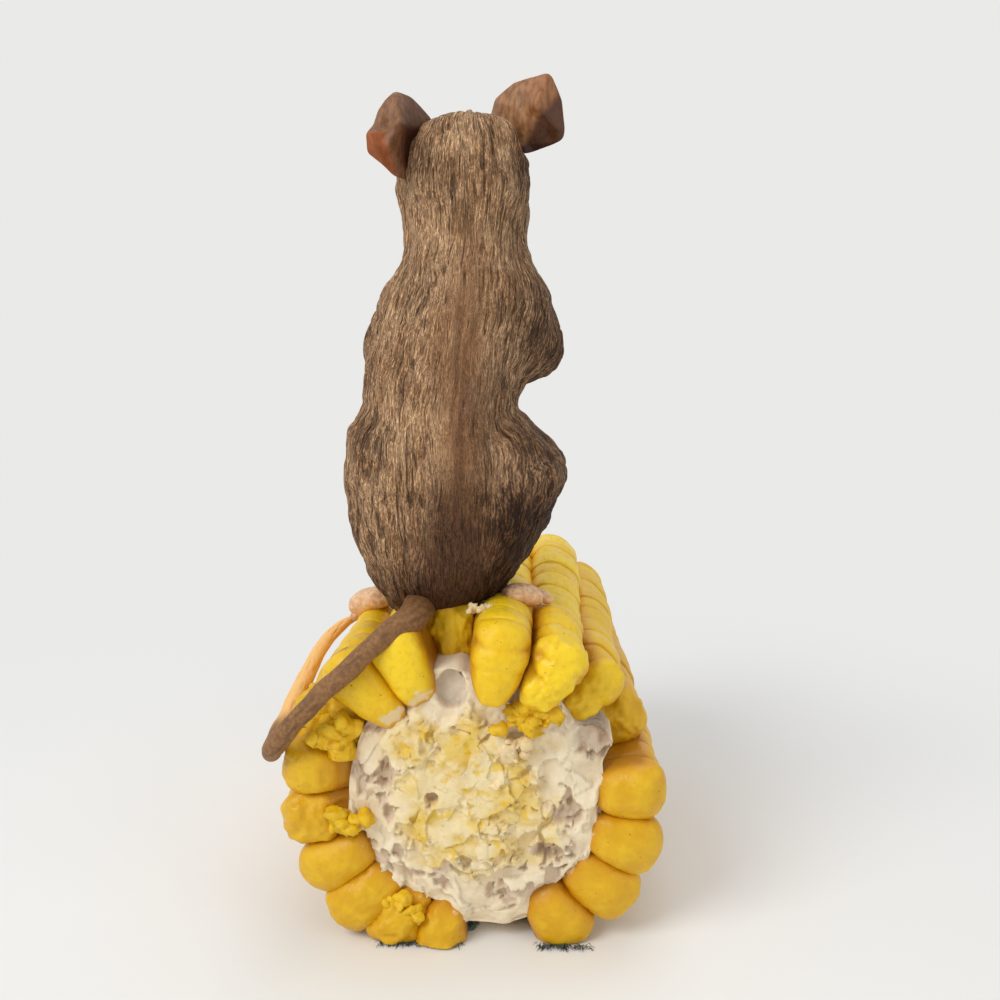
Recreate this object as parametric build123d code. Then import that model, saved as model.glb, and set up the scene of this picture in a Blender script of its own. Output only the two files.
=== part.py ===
from build123d import *
from math import cos, radians, sin, sqrt, tan
import os

# A painted resin ornament: a mouse sits upright on a broken piece of corn cob.
# Millimetres, +Z up. The cob lies along Y with its axis over X = 0 and its torn near end at -Y.
# The mouse faces +Y. Z = 0 is the underside of the felt, and the origin is the middle of that face.

# Fits
glue_gap = 0.12
seat_gap = 0.2
cut_overrun = 2.0

# Corn cob
cob_length = 60.0
crown_radius_near = 24.5
crown_radius_far = 22.0
core_radius_near = 15.6
core_radius_far = 14.4
axis_height = 20.4
kernels_per_row = 12
dome_radius = 5.6
groove_depth = 0.9
end_drop = 1.7
row_gap = 0.3
core_recess = 2.0

# Rows of kernels: two fans of wedges that start side by side at the top of the cob
first_seam_deg = -0.75
right_rows = 9
left_rows = 10
right_pitch_deg = 19.9
left_pitch_deg = 17.5
# Kernels lost at the torn near end, row by row, as shares of a kernel: a minus sign is an overhang
right_lost_shares = (-0.9, -0.7, 0.5, 1.6, 0.0, 0.0, 0.1, 0.0, 1.0)
left_lost_shares = (1.3, 0.2, 0.2, 0.3, 0.0, 0.0, 0.1, 0.0, 0.3, 0.0)

# Torn pith at both ends of the core
chip_count = 26
chip_radius = 4.2
chip_tip_radius = 1.7
chip_height = 3.4
chip_root = 1.2
chip_sides = 5
chip_turn_deg = 137.5
chip_tilt_share = 0.3
chip_spread_share = 0.75

# Felt pad
felt_thickness = 1.0
felt_overhang = 0.5
felt_corner = 3.0

# Mouse trunk
mouse_setback = 14.6
hip_side = 4.6
torso_height = 48.0
torso_half_width = 10.4
torso_half_depth = 11.6
torso_lean = 3.0
# Height, lean, forward, width and depth shares of the trunk, from the seat to the neck
torso_shares = (
    (-0.06, -0.10, -0.15, 0.44, 0.46),
    (0.06, -0.06, -0.08, 0.79, 0.83),
    (0.20, 0.00, -0.02, 0.92, 0.98),
    (0.36, 0.00, 0.00, 0.96, 1.00),
    (0.53, -0.17, 0.02, 0.96, 0.95),
    (0.68, 0.27, 0.02, 1.00, 0.86),
    (0.80, 0.77, 0.04, 1.00, 0.79),
    (0.90, 0.93, 0.10, 0.84, 0.71),
    (1.00, 0.97, 0.18, 0.73, 0.66),
)
shoulder_row = 6
neck_peg_radius = 3.2
neck_peg_length = 5.0

# Thighs
haunch_height = 29.0
haunch_half_width = 6.6
haunch_half_depth = 10.4
haunch_drop = 3.5
hip_half_span = 8.0
hip_plane_side = 3.2
haunch_peg_radius = 1.6
haunch_peg_length = 3.0
haunch_peg_share = 0.55
# Height, outward, forward, width and depth shares of each thigh
right_haunch_shares = (
    (0.00, 0.45, 0.22, 0.34, 0.50),
    (0.11, 0.50, 0.20, 0.44, 0.66),
    (0.30, 0.73, 0.14, 0.68, 0.86),
    (0.50, 0.90, 0.08, 0.88, 1.00),
    (0.71, 1.00, 0.03, 1.00, 0.95),
    (0.89, 0.98, 0.00, 0.52, 0.66),
    (0.97, 0.88, 0.00, 0.20, 0.28),
)
left_haunch_shares = (
    (0.00, 0.66, 0.16, 0.50, 0.52),
    (0.11, 0.79, 0.14, 0.78, 0.70),
    (0.30, 0.92, 0.10, 0.94, 0.90),
    (0.50, 0.98, 0.06, 1.00, 1.00),
    (0.71, 1.00, 0.03, 1.00, 0.95),
    (0.89, 1.00, 0.00, 0.72, 0.68),
    (0.98, 0.94, 0.00, 0.30, 0.32),
)

# Arms: places outward from the shoulder plane, forward of the trunk's middle and above the seat
shoulder_radius = 4.4
elbow_radius = 4.1
wrist_radius = 1.7
paw_radius = 2.0
finger_radius = 0.7
fingertip_radius = 0.5
finger_length = 2.6
finger_count = 4
finger_fan_start_deg = -30.0
finger_fan_deg = 90.0
shoulder_out = 6.6
shoulder_up = 36.6
elbow_out = 9.1
elbow_forward = 1.4
elbow_up = 32.1
wrist_out = 4.0
wrist_forward = 15.2
wrist_up = 37.4
paw_out = 3.2
paw_forward = 17.4
paw_up = 39.0

# Hind feet, laid on the kernels and measured round the cob from the hips
hip_turn_deg = -13.0
right_heel_splay_deg = 22.0
right_toe_splay_deg = 32.0
right_heel_setback = 13.0
right_foot_reach = 5.0
left_heel_splay_deg = 19.0
left_toe_splay_deg = 33.0
left_heel_setback = 20.0
left_foot_reach = 9.0
foot_half_width = 2.4
foot_half_height = 1.7
toe_count = 4
toe_length = 3.8
toe_radius = 0.85
toe_fan_deg = 22.0
# Length, width and height shares along the foot
foot_shares = ((0.0, 0.50, 0.70), (0.25, 0.78, 1.00), (0.65, 1.00, 0.95), (1.0, 0.92, 0.62))

# Head
head_length = 26.0
head_half_width = 8.5
head_half_height = 8.7
head_turn_deg = 22.0
head_dip_deg = 6.0
head_rise = 4.6
skull_share = 0.30
# Length, width, height and drop shares from the back of the skull to the nose
head_shares = (
    (0.00, 0.46, 0.50, 0.02),
    (0.07, 0.76, 0.78, 0.00),
    (0.18, 0.95, 0.95, 0.00),
    (0.30, 1.00, 1.00, 0.00),
    (0.46, 0.95, 0.94, 0.06),
    (0.62, 0.74, 0.76, 0.16),
    (0.78, 0.48, 0.54, 0.28),
    (0.92, 0.29, 0.32, 0.36),
    (1.00, 0.15, 0.16, 0.38),
)
eye_radius = 1.5
eye_sink = 0.7
eye_row = 5
eye_round_deg = 52.0

# Ears
ear_half_width = 4.6
ear_length = 9.6
ear_base_half_width = 2.6
ear_thickness = 1.2
ear_cup_radius = 6.4
ear_sink = 1.4
ear_peg_radius = 1.1
ear_peg_length = 3.0
ear_widest_share = 0.52
right_ear_round_deg = 50.0
right_ear_turn_deg = 26.0
right_ear_tilt_deg = 42.0
left_ear_round_deg = 76.0
left_ear_turn_deg = -58.0
left_ear_tilt_deg = 37.0

# Tail
tail_root_radius = 2.25
tail_peg_radius = 1.6
tail_peg_length = 5.0
tail_exit_side = 5.4
tail_exit_up = 3.0
tail_exit_back = 9.6
# Angle round the cob, then shares: place along the cob, crown radius and tail radius
tail_route_shares = (
    (-17.5, 0.025, 1.020, 0.94),
    (-27.0, -0.012, 0.960, 0.88),
    (-38.0, -0.024, 0.920, 0.84),
    (-50.5, -0.026, 0.920, 0.82),
    (-62.5, -0.020, 0.965, 0.80),
    (-71.5, 0.002, 1.035, 0.79),
    (-75.5, 0.040, 1.078, 0.78),
    (-75.5, 0.100, 1.092, 0.76),
    (-73.0, 0.180, 1.090, 0.71),
    (-69.5, 0.290, 1.086, 0.63),
    (-66.0, 0.410, 1.078, 0.53),
    (-63.0, 0.520, 1.066, 0.42),
    (-61.0, 0.590, 1.052, 0.26),
)

# Dowel that holds the mouse on the cob
pin_radius = 1.5
pin_bite = 8.0
pin_reach = 16.0

near_end = -cob_length / 2
kernel_length = cob_length / kernels_per_row
mouse_y = near_end + mouse_setback


def between(near_value, far_value, y):
    """Value at one place along the cob that runs evenly from the near end to the far end."""
    return near_value + (far_value - near_value) * (y - near_end) / cob_length


def crown_radius(y):
    return between(crown_radius_near, crown_radius_far, y)


def core_radius(y):
    return between(core_radius_near, core_radius_far, y)


def round_cob(radius, angle_deg, y):
    """Point at a radius from the cob's axis, with angles measured from the top towards +X."""
    angle = radians(angle_deg)
    return Vector(radius * sin(angle), y, axis_height + radius * cos(angle))


def cob_plane(angle_deg, y):
    """Cross-section plane of the cob, with its own y pointing away from the axis."""
    angle = radians(angle_deg)
    return Plane(origin=(0, y, axis_height), x_dir=(cos(angle), 0, -sin(angle)), z_dir=(0, -1, 0))


def cob_cone(extra, start, stop, radius_at):
    """Solid cone round the cob's axis, thicker by extra than radius_at."""
    outline = Polyline(
        (0, start), (radius_at(start) + extra, start), (radius_at(stop) + extra, stop), (0, stop), close=True
    )
    return Pos(0, 0, axis_height) * revolve(make_face(outline), axis=Axis.Y)


def oval(half_width, half_height):
    """Ellipse that always starts on its own +X, so that lofts through it don't twist."""
    return scale(Circle(1), by=(half_width, half_height, 1))


def rod(start, stop, radius):
    """Round bar from one point to another."""
    run = stop - start
    return extrude(Plane(origin=start, z_dir=run) * Circle(radius), run.length)


def tapered_limb(start, stop, start_radius, stop_radius):
    """Round limb with a ball at each end, turned from one outline."""
    length = (stop - start).length
    outline = Curve() + [
        CenterArc((0, 0), start_radius, -90, 90),
        Line((start_radius, 0), (stop_radius, length)),
        CenterArc((0, length), stop_radius, 0, 90),
        Line((0, length + stop_radius), (0, -start_radius)),
    ]
    limb = revolve(Plane.XZ * make_face(outline), axis=Axis.Z)
    return Plane(origin=start, z_dir=stop - start) * limb


def main_solid(shape):
    """Largest solid of a cut piece, without the shavings on the far side of the cut."""
    return max(shape.solids(), key=lambda solid: solid.volume)


# Kernel rows


def bead_string(angle_deg, start, stop, count):
    """Row of domes turned about an axis of its own, just under the crowns of the kernels."""
    near_axis = round_cob(crown_radius(start) - dome_radius, angle_deg, start)
    far_axis = round_cob(crown_radius(stop) - dome_radius, angle_deg, stop)
    length = (far_axis - near_axis).length
    step = length / count
    groove = dome_radius - groove_depth
    end = dome_radius - end_drop
    heights = [end] + [groove] * (count - 1) + [end]
    outline = [Line((0, length), (0, 0)), Line((0, 0), (end, 0)), Line((end, length), (0, length))]
    for index in range(count):
        foot = (heights[index], index * step)
        top = (heights[index + 1], (index + 1) * step)
        outline.append(ThreePointArc(foot, (dome_radius, (index + 0.5) * step), top))
    beads = revolve(Plane.XZ * make_face(Curve() + outline), axis=Axis.Z)
    return Plane(origin=near_axis, z_dir=far_axis - near_axis) * beads


def row_wedge(angle_deg, half_angle_deg, start, stop):
    """Wedge between the two radial planes of a row, drawn in by half the gap between rows."""
    half_angle = radians(half_angle_deg)
    corners = []
    for radius in (core_radius_far / 2, crown_radius_near + cut_overrun):
        half_width = radius * tan(half_angle) - row_gap / 2 / cos(half_angle)
        corners.append((half_width, radius))
    (inner_x, inner_y), (outer_x, outer_y) = corners
    outline = Polyline(
        (-inner_x, inner_y), (inner_x, inner_y), (outer_x, outer_y), (-outer_x, outer_y), close=True
    )
    return extrude(cob_plane(angle_deg, stop) * make_face(outline), stop - start)


core_clearance = cob_cone(glue_gap, -cob_length, cob_length, core_radius)


def kernel_row(angle_deg, half_angle_deg, lost_share):
    """One row of kernels on the core, with the base of the ornament cut flat."""
    start = near_end + lost_share * kernel_length
    stop = -near_end
    count = round((stop - start) / kernel_length)
    beads = bead_string(angle_deg, start, stop, count)
    row = (beads & row_wedge(angle_deg, half_angle_deg, start, stop)) - core_clearance
    return split(row, bisect_by=Plane.XY.offset(felt_thickness), keep=Keep.TOP)


row_angles = [
    (first_seam_deg + (index + 0.5) * right_pitch_deg, right_pitch_deg / 2, right_lost_shares[index])
    for index in range(right_rows)
]
row_angles += [
    (first_seam_deg - (index + 0.5) * left_pitch_deg, left_pitch_deg / 2, left_lost_shares[index])
    for index in reversed(range(left_rows))
]
rows = [kernel_row(*row) for row in row_angles]

# Pith core with torn ends


def torn_chips(y, outward):
    """Blunt leaning pyramids of torn pith, spread over one end of the core like seeds on a flower head."""
    chips = []
    for index in range(chip_count):
        angle_deg = index * chip_turn_deg
        reach = (core_radius(y) - chip_radius) * sqrt((index + 0.5) / chip_count)
        height = chip_height * (1 - chip_spread_share * (angle_deg % 100) / 100)
        lean = Vector(chip_tilt_share * sin(angle_deg), outward, chip_tilt_share * cos(angle_deg))
        base = Plane(origin=round_cob(reach, angle_deg, y), x_dir=(cos(index), 0, sin(index)), z_dir=(0, outward, 0))
        tip = Plane(origin=base.origin + lean * height, x_dir=base.x_dir, z_dir=base.z_dir)
        foot = base.offset(-chip_root) * RegularPolygon(chip_radius, chip_sides)
        chips.append(loft([foot, tip * RegularPolygon(chip_tip_radius, chip_sides)]))
    return chips


core_start = near_end + core_recess
core_stop = cob_length / 2 - core_recess
cob_core = cob_cone(0, core_start, core_stop, core_radius)
cob_core = cob_core + torn_chips(core_start, -1) + torn_chips(core_stop, 1)

# Felt pad under the flat of the cob
flat_drop = axis_height - felt_thickness
flat_near = sqrt(crown_radius_near**2 - flat_drop**2) + felt_overhang
flat_far = sqrt(crown_radius_far**2 - flat_drop**2) + felt_overhang
felt_outline = make_face(
    Polyline(
        (-flat_near, near_end), (flat_near, near_end), (flat_far, -near_end), (-flat_far, -near_end), close=True
    )
)
felt_pad = extrude(fillet(felt_outline.vertices(), felt_corner), felt_thickness)

# Trunk of the mouse
seat_height = axis_height + crown_radius(mouse_y)
cob_envelope = cob_cone(seat_gap, near_end - cob_length / 2, cob_length, crown_radius)


def upright_loft(table, place, half_width, half_depth):
    """Smooth body through flat ovals: place turns a row's first three shares into a centre."""
    return loft(
        [
            Plane(origin=place(up, aside, forward)) * oval(wide * half_width, deep * half_depth)
            for up, aside, forward, wide, deep in table
        ]
    )


def torso_place(up, lean, forward):
    return Vector(
        -hip_side + lean * torso_lean, mouse_y + forward * torso_half_depth, seat_height + up * torso_height
    )


torso_body = upright_loft(torso_shares, torso_place, torso_half_width, torso_half_depth)
neck = torso_place(*torso_shares[-1][:3])
neck_peg = rod(neck - Vector(0, 0, cut_overrun), neck + Vector(0, 0, neck_peg_length), neck_peg_radius)
neck_socket = rod(neck, neck + Vector(0, 0, neck_peg_length + glue_gap), neck_peg_radius + glue_gap)

# Thighs, pegged to the trunk


def haunch(table, side):
    """Thigh on one side of the hips, with its peg and the socket that takes the peg."""

    def place(up, out, forward):
        return Vector(
            -hip_plane_side + side * out * hip_half_span,
            mouse_y + forward * haunch_half_depth,
            seat_height - haunch_drop + up * haunch_height,
        )

    thigh = upright_loft(table, place, haunch_half_width, haunch_half_depth)
    middle = place(haunch_peg_share, 1, 0)
    outer = middle + Vector(side * (haunch_half_width - haunch_peg_radius), 0, 0)
    inner = middle - Vector(side * haunch_peg_length, 0, 0)
    peg = rod(outer, inner, haunch_peg_radius)
    socket = rod(outer, inner - Vector(side * glue_gap, 0, 0), haunch_peg_radius + glue_gap)
    return thigh, peg, socket


right_thigh, right_thigh_peg, right_thigh_socket = haunch(right_haunch_shares, 1)
left_thigh, left_thigh_peg, left_thigh_socket = haunch(left_haunch_shares, -1)

# Arms, folded at the chest and bonded along the flanks


def arm(side):
    """Upper arm, forearm and paw on one side."""
    middle = Vector(-hip_side + torso_lean * torso_shares[shoulder_row][1], mouse_y, seat_height)
    shoulder = middle + Vector(side * shoulder_out, 0, shoulder_up)
    elbow = middle + Vector(side * elbow_out, elbow_forward, elbow_up)
    wrist = middle + Vector(side * wrist_out, wrist_forward, wrist_up)
    paw = middle + Vector(side * paw_out, paw_forward, paw_up)
    limbs = [
        tapered_limb(elbow, wrist, elbow_radius, wrist_radius),
        tapered_limb(wrist, paw, wrist_radius, paw_radius),
    ]
    for index in range(finger_count):
        fan = radians(finger_fan_start_deg + finger_fan_deg * index / (finger_count - 1))
        reach = Vector(-side * sin(fan), cos(fan) / 2, cos(fan)) * finger_length
        limbs.append(tapered_limb(paw, paw + reach, finger_radius, fingertip_radius))
    return tapered_limb(shoulder, elbow, shoulder_radius, elbow_radius) + limbs


right_limb = arm(1)
left_limb = arm(-1)

# Tail: a tapering rod from the rump over the torn end and along the side of the cob


def tail_rod(extra):
    """Tail through round sections along its route, thicker all round by extra."""
    root = torso_place(0, 0, 0) + Vector(hip_side - tail_exit_side, -tail_exit_back, tail_exit_up)
    stations = [(root, tail_root_radius)]
    for angle_deg, along, out, thick in tail_route_shares:
        y = near_end + along * cob_length
        stations.append((round_cob(out * crown_radius(y), angle_deg, y), thick * tail_root_radius))
    points = [point for point, _ in stations]
    sections = []
    for index, (point, radius) in enumerate(stations):
        ahead = points[min(index + 1, len(points) - 1)] - points[max(index - 1, 0)]
        sections.append(Plane(origin=point, x_dir=(0, 0, 1), z_dir=ahead) * Circle(radius + extra))
    tip = Pos(points[-1]) * Sphere(stations[-1][1] + extra)
    return loft(sections) + tip, points


tail_body, tail_points = tail_rod(0)
tail_groove, _ = tail_rod(glue_gap)
tail_inward = (tail_points[0] - tail_points[1]).normalized()
tail_peg_end = tail_points[0] + tail_inward * tail_peg_length
tail_peg = rod(tail_points[1], tail_peg_end, tail_peg_radius)
tail_socket = rod(tail_points[1], tail_peg_end + tail_inward * glue_gap, tail_peg_radius + glue_gap)

# Hind feet, laid on the kernels


def foot(side, heel_setback, reach_ahead, heel_splay_deg, toe_splay_deg):
    """Sole and toes that follow the round of the cob on one side."""

    def station(share, lift):
        y = near_end + heel_setback + share * reach_ahead
        splay = heel_splay_deg + share * (toe_splay_deg - heel_splay_deg)
        return round_cob(crown_radius(y) + seat_gap + lift, hip_turn_deg + side * splay, y)

    ahead = station(1, 0) - station(0, 0)
    sections = []
    for along, wide, high in foot_shares:
        spot = station(along, high * foot_half_height / 2)
        away = spot - Vector(0, spot.Y, axis_height)
        across = ahead.cross(away)
        sections.append(
            Plane(origin=spot, x_dir=across, z_dir=ahead) * oval(wide * foot_half_width, high * foot_half_height)
        )
    sole = loft(sections)
    ball = station(foot_shares[-1][0], toe_radius / 2)
    toes = []
    for index in range(toe_count):
        turn = toe_fan_deg * (index - (toe_count - 1) / 2)
        reach = ahead.normalized().rotate(Axis((0, 0, 0), ball - Vector(0, ball.Y, axis_height)), turn)
        root = ball - reach * toe_radius
        tip = root + reach * (toe_length + toe_radius)
        toes.append(tapered_limb(root, tip, toe_radius, toe_radius / 2))
    return sole + toes


right_sole = foot(1, right_heel_setback, right_foot_reach, right_heel_splay_deg, right_toe_splay_deg)
left_sole = foot(-1, left_heel_setback, left_foot_reach, left_heel_splay_deg, left_toe_splay_deg)

# Head, turned to one side
turn = radians(head_turn_deg)
dip = radians(head_dip_deg)
head_ahead = Vector(-sin(turn) * cos(dip), cos(turn) * cos(dip), -sin(dip))
head_right = Vector(cos(turn), sin(turn), 0)
head_up = head_right.cross(head_ahead)
head_centre = neck + Vector(0, 0, head_rise)


def head_point(along, right, up):
    """Point in the head: a share of its length, then lengths to its right and upwards."""
    return head_centre + head_ahead * ((along - skull_share) * head_length) + head_right * right + head_up * up


head_body = loft(
    [
        Plane(origin=head_point(along, 0, -drop * head_half_height), x_dir=head_right, z_dir=-head_ahead)
        * oval(wide * head_half_width, high * head_half_height)
        for along, wide, high, drop in head_shares
    ]
)


def eye_centre(side):
    along, wide, high, drop = head_shares[eye_row]
    angle = radians(eye_round_deg)
    right = side * (wide * head_half_width - eye_sink) * sin(angle)
    up = (high * head_half_height - eye_sink) * cos(angle) - drop * head_half_height
    return head_point(along, right, up)


eyes = {side: Pos(eye_centre(side)) * Sphere(eye_radius) for side in (1, -1)}
eye_sockets = [Pos(eye_centre(side)) * Sphere(eye_radius + glue_gap) for side in (1, -1)]

# Ears: a leaf outline cut from a thin ball


def ear(side, round_deg, turn_deg, tilt_deg):
    """Cupped ear with its peg, and the socket that takes the peg."""
    round_angle = radians(round_deg)
    base = head_point(
        skull_share,
        side * (head_half_width - ear_sink) * sin(round_angle),
        (head_half_height - ear_sink) * cos(round_angle),
    )
    facing = Vector(sin(radians(turn_deg)), cos(radians(turn_deg)), 0)
    level = Vector(side * facing.Y, -side * facing.X, 0)
    tilt = radians(tilt_deg)
    up = Vector(0, 0, cos(tilt)) + level * sin(tilt)
    widest = ear_widest_share * ear_length
    leaf = make_face(
        Curve()
        + [
            Line((-ear_base_half_width, 0), (ear_base_half_width, 0)),
            ThreePointArc((ear_base_half_width, 0), (ear_half_width, widest), (0, ear_length)),
            ThreePointArc((0, ear_length), (-ear_half_width, widest), (-ear_base_half_width, 0)),
        ]
    )
    ball = Pos(0, widest, ear_cup_radius) * (Sphere(ear_cup_radius) - Sphere(ear_cup_radius - ear_thickness))
    cup = extrude(leaf, ear_cup_radius) & ball
    base_depth = ear_cup_radius - sqrt(ear_cup_radius**2 - widest**2) + ear_thickness / 2
    cup = Plane(origin=base - facing * base_depth, x_dir=up.cross(facing), z_dir=facing) * cup
    peg_rise = ear_sink + ear_peg_radius
    wall_depth = ear_cup_radius - sqrt(ear_cup_radius**2 - (widest - peg_rise) ** 2) + ear_thickness / 2
    peg_top = base + up * peg_rise - facing * (base_depth - wall_depth)
    peg_foot = base - up * ear_peg_length
    outward = (peg_top - peg_foot).normalized()
    peg = rod(peg_top, peg_foot, ear_peg_radius)
    socket = rod(peg_top + outward * cut_overrun, peg_foot - outward * glue_gap, ear_peg_radius + glue_gap)
    return cup, peg, socket


right_cup, right_ear_peg, right_ear_socket = ear(1, right_ear_round_deg, right_ear_turn_deg, right_ear_tilt_deg)
left_cup, left_ear_peg, left_ear_socket = ear(-1, left_ear_round_deg, left_ear_turn_deg, left_ear_tilt_deg)

# Dowel through the first row left of the top
pin_row = len(rows) - 1
pin_angle = radians(row_angles[pin_row][0])
pin_x = (core_radius(mouse_y) + crown_radius(mouse_y)) / 2 * sin(pin_angle)
pin_foot = Vector(pin_x, mouse_y, axis_height + core_radius(mouse_y) - pin_bite)
pin_head = Vector(pin_x, mouse_y, seat_height + pin_reach)
mounting_pin = rod(pin_foot, pin_head, pin_radius)
pin_bore = rod(pin_foot, pin_head + Vector(0, 0, glue_gap), pin_radius + glue_gap)

# Seats and sockets: each piece gives way to the piece that carries it
torso = main_solid(torso_body - cob_envelope) + neck_peg
torso = torso - [right_thigh_socket, left_thigh_socket, tail_socket, pin_bore]
head = main_solid(head_body - torso_body) - [neck_socket, right_ear_socket, left_ear_socket] - eye_sockets
haunch_right = main_solid(right_thigh - torso_body - cob_envelope) + right_thigh_peg
haunch_left = main_solid(left_thigh - torso_body - cob_envelope) + left_thigh_peg
arm_right = main_solid(right_limb - torso_body - right_thigh)
arm_left = main_solid(left_limb - torso_body - left_thigh)
foot_right = main_solid(right_sole - cob_envelope - right_thigh - torso_body)
foot_left = main_solid(left_sole - cob_envelope - left_thigh - torso_body)
ear_right = main_solid(right_cup - head_body) + right_ear_peg
ear_left = main_solid(left_cup - head_body) + left_ear_peg
tail = main_solid(tail_body - torso_body) + tail_peg
rows = [main_solid(row - tail_groove) for row in rows]
rows[pin_row] = rows[pin_row] - pin_bore
cob_core = cob_core - pin_bore

nodes = {
    "torso": torso,
    "head": head,
    "ear_right": ear_right,
    "ear_left": ear_left,
    "eye_right": eyes[1],
    "eye_left": eyes[-1],
    "haunch_right": haunch_right,
    "haunch_left": haunch_left,
    "arm_right": arm_right,
    "arm_left": arm_left,
    "foot_right": foot_right,
    "foot_left": foot_left,
    "tail": tail,
    "mounting_pin": mounting_pin,
    "felt_pad": felt_pad,
    "cob_core": cob_core,
}
nodes.update({f"kernel_row_{index + 1:02d}": row for index, row in enumerate(rows)})

os.makedirs("parts", exist_ok=True)
for name, shape in nodes.items():
    export_step(shape, f"parts/{name}.step")
    print(name, "volume", round(shape.volume, 1))
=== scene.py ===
# %% [markdown]
# # A painted mouse on a corn cob
# The real thing is a small ornament of cast resin, painted by hand: a mouse sits upright on a broken piece of
# corn cob. Its construction comes ready made, in metres, as a frame of solids. Everything below dresses that
# frame: each surface is worked out with numpy, in millimetres, and put into a mesh where its solid is.

# %% Load the frame
import bpy
import numpy as np
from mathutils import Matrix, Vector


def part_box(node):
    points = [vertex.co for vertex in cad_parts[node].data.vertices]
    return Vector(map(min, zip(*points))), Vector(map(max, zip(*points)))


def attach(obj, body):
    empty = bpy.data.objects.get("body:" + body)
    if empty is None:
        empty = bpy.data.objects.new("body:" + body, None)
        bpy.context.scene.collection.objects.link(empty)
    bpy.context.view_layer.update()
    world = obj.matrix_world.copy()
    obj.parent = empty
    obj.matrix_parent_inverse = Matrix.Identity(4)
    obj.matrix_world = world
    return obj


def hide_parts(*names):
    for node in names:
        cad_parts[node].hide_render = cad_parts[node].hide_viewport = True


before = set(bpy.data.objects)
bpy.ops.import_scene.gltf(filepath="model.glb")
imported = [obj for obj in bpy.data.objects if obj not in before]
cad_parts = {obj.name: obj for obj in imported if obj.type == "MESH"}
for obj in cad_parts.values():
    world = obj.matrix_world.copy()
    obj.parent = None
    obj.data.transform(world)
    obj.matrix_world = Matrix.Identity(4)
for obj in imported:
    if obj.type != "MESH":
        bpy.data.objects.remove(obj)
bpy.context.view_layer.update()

MM = 0.001
bpy.context.scene.view_settings.view_transform = "Standard"
print("solids in the frame:", len(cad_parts))

# %% [markdown]
# ## Randomness that never changes
# Fur strokes, torn pith and dents all need smooth random values. Blender has noise of its own, but a numpy
# version works on whole arrays and gives the same numbers on every run, so the shape and the paint can share it.

# %% Noise
def lattice(cells, seed):
    """A number from 0 to 1 for each whole-number cell: its three indices times large primes, then scrambled."""
    mixed = cells[..., 0] * 73856093 ^ cells[..., 1] * 19349663 ^ cells[..., 2] * 83492791 ^ seed * 15485863
    mixed = (mixed ^ mixed >> 15) * 1274126177
    mixed = (mixed ^ mixed >> 13) * 668265263
    return (mixed >> 8 & 0xFFFF) / 0xFFFF


def soft_noise(points, seed):
    """Smooth random values from -1 to 1: lattice numbers at the eight corners, blended by an S-curve."""
    base = np.floor(points).astype(np.int64)
    part = points - base
    ease = part**3 * (part * (part * 6 - 15) + 10)
    total = 0.0
    for corner in np.ndindex(2, 2, 2):
        weight = np.prod(np.where(corner, ease, 1 - ease), axis=-1)
        total = total + weight * lattice(base + np.array(corner), seed)
    return 2 * total - 1


def s_curve(value, low, high):
    """0 below low, 1 above high, and a smooth step between them."""
    share = np.clip((value - low) / (high - low), 0, 1)
    return share * share * (3 - 2 * share)


def smooth_between(place, stations, values):
    """Cubic curve through the values at the stations, with slopes taken from each one's neighbours."""
    stations = np.asarray(stations, float)
    values = np.asarray(values, float)
    slopes = np.gradient(values, stations, axis=0)
    place = np.clip(place, stations[0], stations[-1])
    low = np.clip(np.searchsorted(stations, place) - 1, 0, len(stations) - 2)
    span = (stations[low + 1] - stations[low])[..., None]
    t = ((place - stations[low])[..., None]) / span
    start = values[low] * (1 + 2 * t) * (1 - t) ** 2 + slopes[low] * span * t * (1 - t) ** 2
    stop = values[low + 1] * t * t * (3 - 2 * t) + slopes[low + 1] * span * t * t * (t - 1)
    return start + stop


# %% [markdown]
# ## Closed meshes from grids
# Nearly every piece here is a stack of rings: a tail, a thigh, a kernel row. One function turns such stacks into
# a mesh. Rings are joined by four-sided faces, each end is closed by a fan, and the sign of the volume inside
# tells whether the faces point outwards. Marks are extra numbers at each point that the paint reads later.

# %% Mesh maker
def shell_faces(rows, columns):
    """Quads between neighbouring rings, and triangles from each end ring to a pole point after the grid."""
    index = np.arange(rows * columns).reshape(rows, columns)
    ahead = np.roll(index, -1, axis=1)
    quads = np.stack([index[:-1], ahead[:-1], ahead[1:], index[1:]], axis=-1).reshape(-1, 4)
    pole = np.full(columns, rows * columns)
    near = np.stack([ahead[0], index[0], pole], axis=-1)
    far = np.stack([index[-1], ahead[-1], pole + 1], axis=-1)
    return quads, np.concatenate([near, far])


def with_poles(grid):
    """A grid's values as one list, followed by the means of its first and last rings for the pole points."""
    poles = np.stack([grid[0].mean(axis=0), grid[-1].mean(axis=0)])
    return np.concatenate([grid.reshape(-1, *grid.shape[2:]), poles])


def enclosed_volume(points, quads, triangles):
    """Volume inside closed faces: the sum of the signed pyramids that the faces make with the middle."""
    corners = np.concatenate([quads[:, [0, 1, 2]], quads[:, [0, 2, 3]], triangles])
    corners = points[corners] - points.mean(axis=0)
    return np.einsum("ij,ij->i", corners[:, 0], np.cross(corners[:, 1], corners[:, 2])).sum() / 6


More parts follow.
